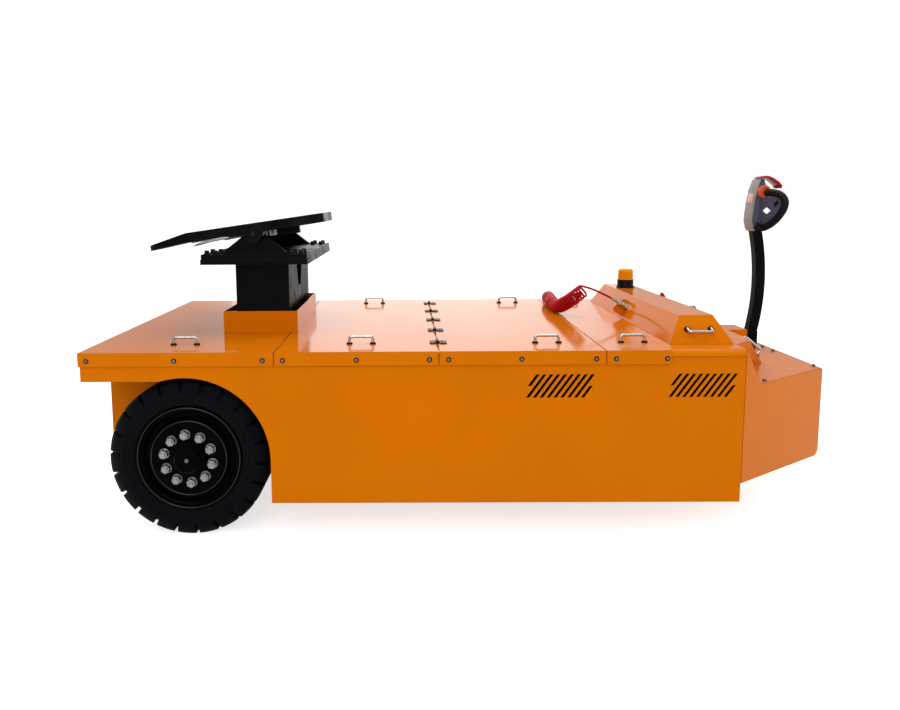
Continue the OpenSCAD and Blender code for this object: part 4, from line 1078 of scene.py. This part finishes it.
@dataclass
class TillerHead:
    """Moulded head of the tiller: body, shell, guards, looped grips, knobs and belly switch.

    All but the foot is in millimetres. Outlines are ahead of the tiller's pivot and above the arm's end, or, for
    the guards, out from the head in the plane of the loop and above the arm's end.
    """

    foot: tuple = (REAR + 3.096, 0.0, 1.240)
    width: float = 90
    shell_t: float = 8.0
    shell_gap: float = 0.3
    rear: tuple = ((-41, 40), (-41, 72), (-33, 145), (-15, 225), (-6, 249), (8, 256))
    front: tuple = ((24, 228), (40, 206), (44, 185), (30, 160), (8, 150), (6, 60), (16, 25))
    body_foot: tuple = ((26, 6.5), (-18, -3.5))
    shell_foot: tuple = ((-26, -5.3), (-18.3, -3.5))
    belly_arch: tuple = ((-3, 256.6), (-3, 259.5), (8, 264.5), (24, 268), (42, 267), (67, 256), (94, 238), (109, 220),
                         (107, 206), (99, 207), (93, 221), (66, 243), (42, 255.5), (24, 256.6))
    loop_at: tuple = (9, 45)
    loop_turn: float = math.radians(59)
    grip: tuple = ((21, 186), (58, 184), (98, 171), (120, 145), (118, 111), (100, 78), (66, 42), (32, 20), (6, 12))
    grip_end: tuple = ((-6, 49, 14), (-20, 47, 24))
    grip_r: float = 18
    window: tuple = ((4, 97), (27, 115), (50, 97), (27, 79))
    pad: tuple = ((72, 113), (94, 132), (88, 152), (66, 133))
    film: tuple = ((-34.0, 136), (-33, 145), (-24.9, 181))
    film_t: float = 0.8
    film_w: float = 56
    belly_w: float = 74
    web_root: tuple = ((-12, 33), (-12, 150), (12, 158), (30, 176))
    guard_t: float = 10
    pad_t: float = 14
    knob_at: tuple = (13, 190)
    knob_gap: float = 0.3
    knob: tuple = ((0, 0), (30.0, 0), (31.0, 1.2), (31.0, 4.8), (29.4, 6.2), (29.4, 8.0), (31.0, 9.4), (31.0, 15.0),
                   (28.5, 17.8), (21.5, 17.8), (20.0, 15.0), (0, 15.0))

    def plate(self, outline: Sequence[Sequence[float]], width: float, rounding: float, name: str, finish: Finish,
              node: str | None = None) -> None:
        """Moulds a piece of the head from its side outline, in place of a solid.

        Args:
            outline: The side outline.
            width: Width across the head.
            rounding: Width of its rounded edges.
            name: The piece's name.
            finish: Its finish.
            node: The solid that it stands for, if any.
        """
        piece = prism([outline], width)
        bevelled(piece, rounding, 4, 20)
        smooth(piece, 40)
        upright = Matrix.Translation(self.foot) @ Matrix.Rotation(math.pi / 2, 4, "X")
        piece = set_out(piece, [upright], name, finish, "tiller")
        if node:
            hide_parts(node)

    def moulding(self) -> None:
        """Moulds the body, the paler shell behind it with its film, whose salmon colour is a painted reflection, and
        the belly switch.
        """
        rear = [(x + self.shell_t, z) for x, z in self.rear]
        self.plate((*self.body_foot, *rear, *self.front), self.width, 7, "head_body", CHARCOAL_PLASTIC, "tiller_head")
        inner = [(x + self.shell_t - self.shell_gap, z) for x, z in reversed(self.rear)]
        self.plate((self.shell_foot[0], *self.rear, *inner, self.shell_foot[1]), self.width, 2.4, "head_back",
                   GREY_PLASTIC, "head_shell")
        proud = [(x - self.film_t, z) for x, z in reversed(self.film)]
        # The film's salmon colour is a painted reflection on the display
        self.plate((*self.film, *proud), self.film_w, 0.3, "head_film", SALMON_FILM_PAINTED_REFLECTION)
        self.plate(self.belly_arch, self.belly_w, 4, "belly_button", RED_PLASTIC, "belly_switch")

    def guards(self) -> None:
        """Cuts the web that fills each loop, with its window and a dark pad."""
        outline = (*self.web_root, *self.grip[1:8])
        places = []
        for side in (s.value for s in Side):
            root = Vector(self.foot) + MM * Vector((self.loop_at[0], side * self.loop_at[1], 0))
            turn = Matrix.Rotation(side * self.loop_turn, 4, "Z") @ Matrix.Rotation(math.pi / 2, 4, "X")
            places.append(Matrix.Translation(root) @ turn)
        for name, loops, thickness, finish in (
                ("grip_guards", (outline, self.window), self.guard_t, CHARCOAL_PLASTIC),
                ("guard_pads", (self.pad,), self.pad_t, BLACK_PLASTIC)):
            web = prism(loops, thickness)
            bevelled(web, 1.8, 2, 40)
            smooth(web, 40)
            set_out(web, places, name, finish, "tiller")

    def grips(self) -> None:
        """Bends the thick looped grips."""
        turn, root = Matrix.Rotation(self.loop_turn, 3, "Z"), Vector((*self.loop_at, 0))
        route = [root + turn @ Vector((out, 0, up)) for out, up in self.grip] + [Vector(p) for p in self.grip_end]
        bars = []
        for side in (s.value for s in Side):
            bar = tube([(x, side * y, z) for x, y, z in route], self.grip_r)
            smooth(bar, 50)
            bars.append(copies(bar, [Matrix.Translation(self.foot)], f"grip_{side}"))
        grips = dress(joined(bars), "looped_grips", BLACK_PLASTIC, "tiller")
        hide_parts("tiller_grips")

    def knobs(self) -> None:
        """Turns the grooved throttle knobs at the upper ends of the grips."""
        (ahead, up), out = self.knob_at, self.width / 2 + self.knob_gap
        places = [facing(Vector(self.foot) + MM * Vector((ahead, s.value * out, up)), (0, s.value, 0)) for s in Side]
        knobs = set_out(turned(self.knob, 48, 40), places, "throttle_rings", ORANGE_PLASTIC, "tiller")
        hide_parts("throttle_knobs")

    def build(self) -> None:
        """Builds the head's pieces."""
        self.moulding()
        self.guards()
        self.grips()
        self.knobs()


def dress_solids(frame: dict) -> None:
    """Gives every solid of the model its finish.
    """
    for part in frame["record"]["subparts"]:
        solid = frame["nodes"][part["node"]]
        finish = NODE_FINISHES.get(part["node"], SLOT_FINISHES[part["material_slot"]])
        solid.data.materials.clear()
        solid.data.materials.append(finish.material())


def main() -> None:
    """Builds the studio and every piece."""
    logging.basicConfig(level=logging.INFO, format="%(name)s: %(message)s")
    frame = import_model()
    Studio().build()
    AirHose().build()
    dress_solids(frame)
    for side in Side:
        RearWheel(side).build()
    for assembly in (DeckFixings(), HandleFeet(), VentShadeTrays(), CouplingFittings(), TillerHead()):
        assembly.build()


if __name__ == "__main__":
    main()
